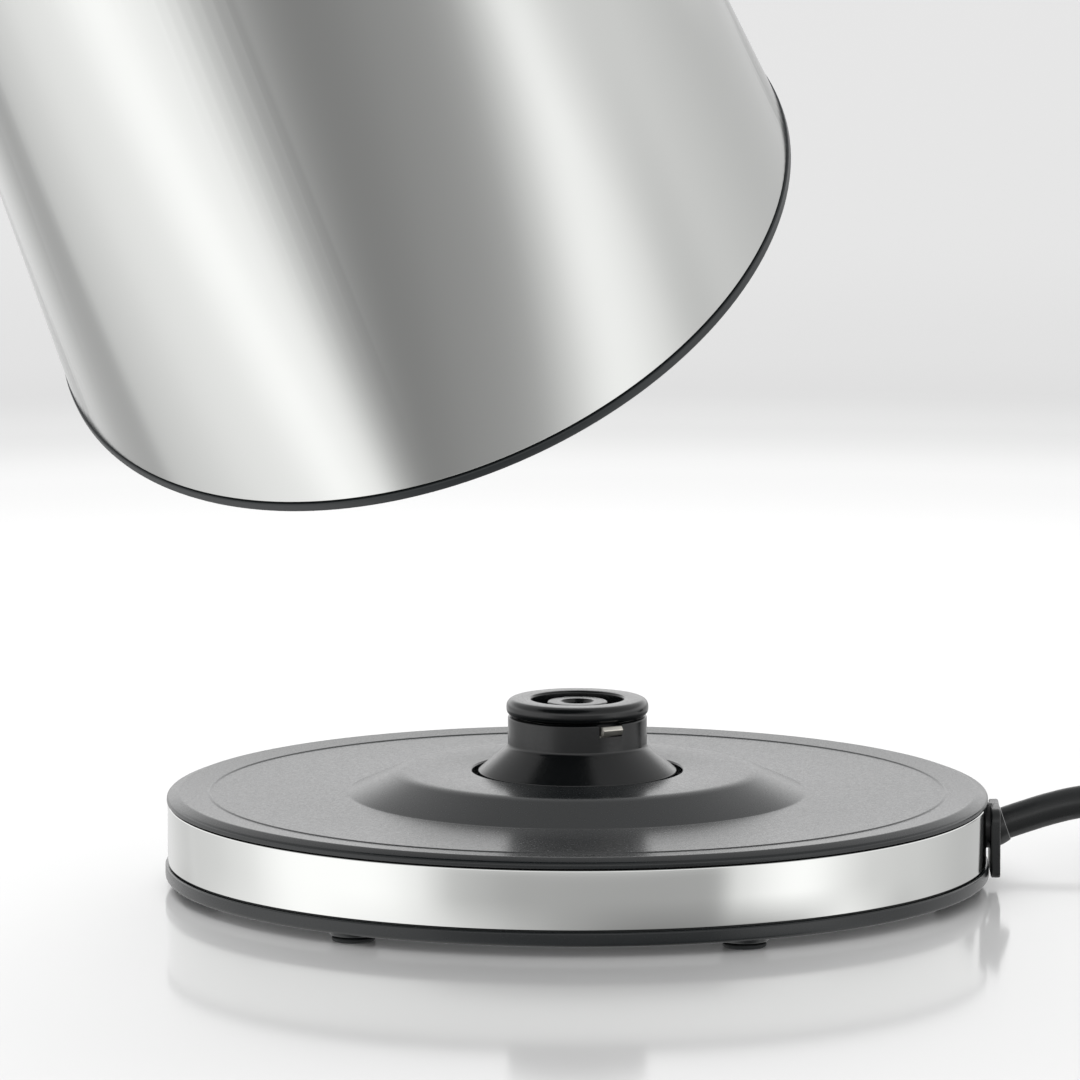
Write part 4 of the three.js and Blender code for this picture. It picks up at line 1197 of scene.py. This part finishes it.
def offset_line(line, distance):
    """The line moved sideways, positive towards the jug."""
    moved_line = []
    for i, p in enumerate(line):
        t = (line[min(i + 1, len(line) - 1)] - line[max(i - 1, 0)]).normalized()
        moved_line.append((p.x - t.y * distance, p.y + t.x * distance))
    return moved_line


def handle_half(seam, face):
    """One half of the handle, from its flat seam to its outer face, whose long edges are well rounded."""
    line = handle_line()
    bm = bmesh.new()
    _, seam_edges = chain(bm, offset_line(line, seam), False)
    _, face_edges = chain(bm, offset_line(line, face), False)
    bmesh.ops.bridge_loops(bm, edges=seam_edges + face_edges)
    grown = bmesh.ops.extrude_face_region(bm, geom=bm.faces[:])
    fresh = [g for g in grown["geom"] if isinstance(g, bmesh.types.BMVert)]
    bmesh.ops.translate(bm, verts=fresh, vec=(0, HANDLE_W, 0))
    bmesh.ops.translate(bm, verts=bm.verts, vec=(0, -HANDLE_W / 2, 0))
    bmesh.ops.recalc_face_normals(bm, faces=bm.faces)
    rim = {(round(x, 3), round(z, 3)) for x, z in offset_line(line, face)}

    def on_rim(edge):
        flat = abs(edge.verts[0].co.y - edge.verts[1].co.y) < 1e-6
        return flat and all((round(v.co.x, 3), round(v.co.z, 3)) in rim for v in edge.verts)

    soften(bm, [e for e in bm.edges if on_rim(e)], 6.0, 8)
    return bm


def handle():
    def clearances():
        collar_space = turned([(0, 177), (64.5, 177), (64.5, 208), (0, 208)], ROUND)
        lugs = block((HINGE_X - 3.6, -12.6, 187), (-50, 12.6, 208))
        well = block((BUTTON_X - 8.8, -8.8, 178.7), (BUTTON_X + 8.8, 8.8, 200))
        latch = block((-75.1, -5.3, 180.2), (-54, 5.3, 183.8))
        return [body_tool(GAP), collar_space, lugs, well, latch]

    outer = cut(handle_half(-GAP / 2, -HANDLE_HALF), *clearances())
    inner = cut(handle_half(GAP / 2, HANDLE_HALF), *clearances())
    jug_piece("handle_outer_moulded", outer, JUG_PLASTIC, "grey_black_plastic", "handle_outer", sharp=40)
    jug_piece("handle_inner_moulded", inner, SOFT_PLASTIC, "grey_black_plastic", "handle_inner", sharp=40)


def lid_button():
    button = plate(
        [
            (BUTTON_X - 8.5, 186.2),
            (BUTTON_X + 4.0, 186.2),
            (BUTTON_X + 8.5, 190.7),
            (BUTTON_X + 8.5, BUTTON_TOP, 1.6),
            (BUTTON_X - 8.5, BUTTON_TOP, 1.6),
        ],
        17,
        1.2,
        segments=4,
    )
    ridges = [
        block(
            (BUTTON_X + x - 0.5, -5.5, BUTTON_TOP - 0.4),
            (BUTTON_X + x + 0.5, 5.5, BUTTON_TOP),
            0.2,
        )
        for x in (-4, -2, 0, 2, 4)
    ]
    button = cut(button, *ridges)
    jug_piece(
        "lid_button_moulded", button, SOFT_PLASTIC, "dark_plastic", "lid_button", body="lid_button"
    )
    spring = shifted(coil_spring(3.0, 0.38, 179.0, 185.9, 4), BUTTON_X - 3)
    jug_piece("button_spring_wound", spring, SPRING_WIRE, "spring_steel", "button_spring")
    shutter_spring = coil_spring(9.15, 0.38, 18.5, 29.3, 4)
    base_piece("shutter_spring_wound", shutter_spring, SPRING_WIRE, "spring_steel", "shutter_spring")


# ---------- the switch ----------
def switch():
    housing = plate(
        [(-66, 11), (-91, 11, 4), (-91, 24.4, 4), (-66, 24.4)],
        24,
        1.4,
        segments=4,
    )
    pocket = block((-92, -9, 10), (-77.6, 9, 22.8))
    rod_path = block((-82, -3.2, 14.2), (-60, 3.2, 17.2))
    bore = cross_rod(1.6, 11.2, LEVER_X, LEVER_Z)
    jug_piece(
        "switch_housing_moulded",
        cut(housing, pocket, rod_path, bore, body_tool(GAP)),
        JUG_PLASTIC,
        "grey_black_plastic",
        "switch_housing",
    )
    lever = plate(
        [
            (-106, 18.4, 0.8),
            (LEVER_X - 4.5, 17.0, 1.0),
            (LEVER_X - 2.1, 14.6, 0.3),
            (LEVER_X + 0.9, 14.6, 0.3),
            (LEVER_X + 2.4, 17.6, 0.5),
            (LEVER_X + 2.4, 20.6, 0.8),
            (LEVER_X - 4.5, 21.2, 3.0),
            (-104, 21.6, 0.8),
            (-106, 20.4, 0.6),
        ],
        17,
        1.0,
        segments=4,
    )
    lens_room = block((-103.2, -4.2, 20.3), (-95.8, 4.2, 24))
    grooves = [block((x - 0.45, -6.5, 20.9), (x + 0.45, 6.5, 23), 0.1) for x in (-93, -91, -89)]
    jug_piece(
        "switch_lever_moulded",
        cut(lever, cross_rod(1.6, 17, LEVER_X, LEVER_Z), lens_room, *grooves),
        SOFT_PLASTIC,
        "dark_plastic",
        "switch_lever",
        body="switch_lever",
    )
    lens = block((-102.9, -3.9, 20.6), (-96.1, 3.9, 21.9), 0.5)
    jug_piece("lever_lens_moulded", lens, RED_LENS, "lamp_lens", "lever_lens", body="switch_lever")


# ---------- the CAD pieces that stay ----------
KEPT = {
    "element_plate": PRESSED_STAINLESS,
    "heat_spreader": CAST_ALUMINIUM,
    "heating_element": CAST_ALUMINIUM,
    "control_unit": NATURAL_NYLON,
    "filter_frame": NATURAL_NYLON,
    "steam_tube": NATURAL_NYLON,
    "lid_latch": NATURAL_NYLON,
    "trip_rod": NATURAL_NYLON,
    "lever_pin": ZINC_STEEL,
    "wire_brown": BROWN_PVC,
    "wire_blue": BLUE_PVC,
}


def paint_kept_pieces():
    for name, material in KEPT.items():
        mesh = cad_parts[name].data
        mesh.materials.clear()
        mesh.materials.append(material)


# ---------- the stage and its light ----------
def ramp(tree, factor, stops, reach, smooth="CARDINAL"):
    """A grey ramp over 0 to reach: (place, brightness) stops."""
    made = add_node(tree, "ShaderNodeValToRGB", Fac=factor)
    made.color_ramp.interpolation = smooth
    elements = made.color_ramp.elements
    while len(elements) < len(stops):
        elements.new(0.5)
    for element, (place, level) in zip(elements, stops):
        element.position = place / reach
        element.color = (level, level, level, 1)
    return made.outputs["Color"]


# painted light and shade in the floor's colour, by distance from its middle, millimetres: a painted bright
# pool in the middle and a soft ring of painted shade far out, standing in for the shade of a backdrop's
# curve
FLOOR_REACH = 4000
FLOOR_PAINTED_LIGHT_MIDDLE = (0, 120, 0)
FLOOR_PAINTED_SHADE_STOPS = [
    (0, 0.9),
    (330, 0.86),
    (480, 0.68),
    (570, 0.46),
    (640, 0.36),
    (720, 0.38),
    (1000, 0.42),
    (2200, 0.46),
]


def floor():
    bm = bmesh.new()
    bmesh.ops.create_grid(bm, x_segments=1, y_segments=1, size=30)
    bmesh.ops.translate(bm, vec=(0, 0, FLOOR_Z * MM - 0.0001), verts=bm.verts)
    obj = as_object("floor", bm)
    made, tree, surface, where = new_material("glossy_white_acrylic_painted_shade", "#f4f4f3", 0.1, IOR=1.2)
    out = add_node(
        tree, "ShaderNodeVectorMath", {"operation": "DISTANCE"}, i0=where, i1=FLOOR_PAINTED_LIGHT_MIDDLE
    ).outputs["Value"]
    share = add_node(
        tree, "ShaderNodeMath", {"operation": "DIVIDE"}, i0=out, i1=FLOOR_REACH
    ).outputs["Value"]
    # painted shade: the floor's colour is bright in the middle and darkens in a ring far out, standing in
    # for light and shade on a studio backdrop
    shade = ramp(tree, share, FLOOR_PAINTED_SHADE_STOPS, FLOOR_REACH, "EASE")
    tree.links.new(shade, surface.inputs["Base Color"])
    obj.data.materials.append(made)
    obj.visible_glossy = False


STEEL_SHARE = 0.71  # of the light that falls on it, what the steel sends back
# compass degrees from +X towards +Y, and the brightness that steel shows of the room there
LEVEL_STOPS = [
    (0, 0.63),
    (12, 0.59),
    (24, 0.56),
    (48, 0.46),
    (79, 0.49),
    (105, 0.6),
    (128, 0.55),
    (131, 0.585),
    (139, 0.59),
    (154, 0.66),
    (168, 0.79),
    (181, 0.97),
    (208, 1.0),
    (219, 0.91),
    (227, 0.76),
    (234, 0.545),
    (248, 0.4),
    (265, 0.355),
    (299, 0.345),
    (309, 0.4),
    (314, 0.66),
    (321, 0.82),
    (334, 0.98),
    (346, 0.84),
    (360, 0.63),
]
BELOW_STOPS = [
    (0, 0.8),
    (8, 0.62),
    (16, 0.48),
    (30, 0.55),
    (60, 0.36),
    (100, 0.44),
    (112, 0.4),
    (125, 0.345),
    (128, 0.5),
    (146, 0.69),
    (167, 0.82),
    (184, 0.96),
    (200, 0.9),
    (222, 0.8),
    (236, 0.66),
    (250, 0.5),
    (262, 0.38),
    (275, 0.28),
    (291, 0.21),
    (312, 0.235),
    (331, 0.3),
    (338, 0.4),
    (346, 0.66),
    (352, 0.85),
    (358, 0.84),
    (360, 0.8),
]
# the height of a direction, up to 1 straight overhead, and the brightness there
HIGH_STOPS = [(0, 0.9), (0.12, 0.98), (0.26, 0.95), (0.45, 0.5), (1, 0.38)]


def studio_light():
    """A white studio round the object: bright sides, and a darker room in front, where a viewer stands."""
    world = bpy.data.worlds.new("studio")
    scene.world = world
    world.use_nodes = True
    tree = world.node_tree
    direction = add_node(tree, "ShaderNodeTexCoord").outputs["Generated"]
    split = add_node(tree, "ShaderNodeSeparateXYZ", Vector=direction).outputs
    angle = add_node(tree, "ShaderNodeMath", {"operation": "ARCTAN2"}, i0=split["Y"], i1=split["X"])
    turns = add_node(
        tree, "ShaderNodeMath", {"operation": "MULTIPLY"}, i0=angle.outputs[0], i1=1 / FULL_TURN
    )
    compass = add_node(tree, "ShaderNodeMath", {"operation": "FRACT"}, i0=turns.outputs[0]).outputs[0]
    level = ramp(tree, compass, LEVEL_STOPS, 360)
    below = ramp(tree, compass, BELOW_STOPS, 360)
    down = add_node(
        tree, "ShaderNodeMapRange", Value=split["Z"], From_Min=-0.18, From_Max=-0.4
    ).outputs["Result"]
    lower = add_node(
        tree, "ShaderNodeMix", {"data_type": "RGBA"}, i0=down, i6=level, i7=below
    ).outputs[2]
    up = add_node(
        tree, "ShaderNodeMapRange", Value=split["Z"], From_Min=0.0, From_Max=0.12
    ).outputs["Result"]
    high = ramp(tree, split["Z"], HIGH_STOPS, 1, "EASE")
    whole = add_node(
        tree,
        "ShaderNodeMix",
        {"data_type": "RGBA"},
        i0=up,
        i6=lower,
        i7=high,
    ).outputs[2]
    background = tree.nodes["Background"]
    tree.links.new(whole, background.inputs["Color"])
    background.inputs["Strength"].default_value = 1 / STEEL_SHARE


def soft_box():
    """One large soft lamp overhead."""
    data = bpy.data.lights.new("overhead", "AREA")
    data.shape = "DISK"
    data.size = 1.6
    data.energy = 17
    lamp = bpy.data.objects.new("overhead", data)
    lamp.location = (-0.5, 0.3, 1.9)
    lamp.rotation_euler = (Vector(lamp.location)).to_track_quat("Z", "Y").to_euler()
    lamp.visible_glossy = False
    scene.collection.objects.link(lamp)


set_camera()
lay_cord(plug())
gland()
base_pan()
trim_band()
base_cover()
feet()
base_screws()
connector()
contact_clip()
jug_body()
level_window()
underside()
spout()
filter_insert()
collar()
lid()
handle()
lid_button()
switch()
paint_kept_pieces()
floor()
studio_light()
soft_box()
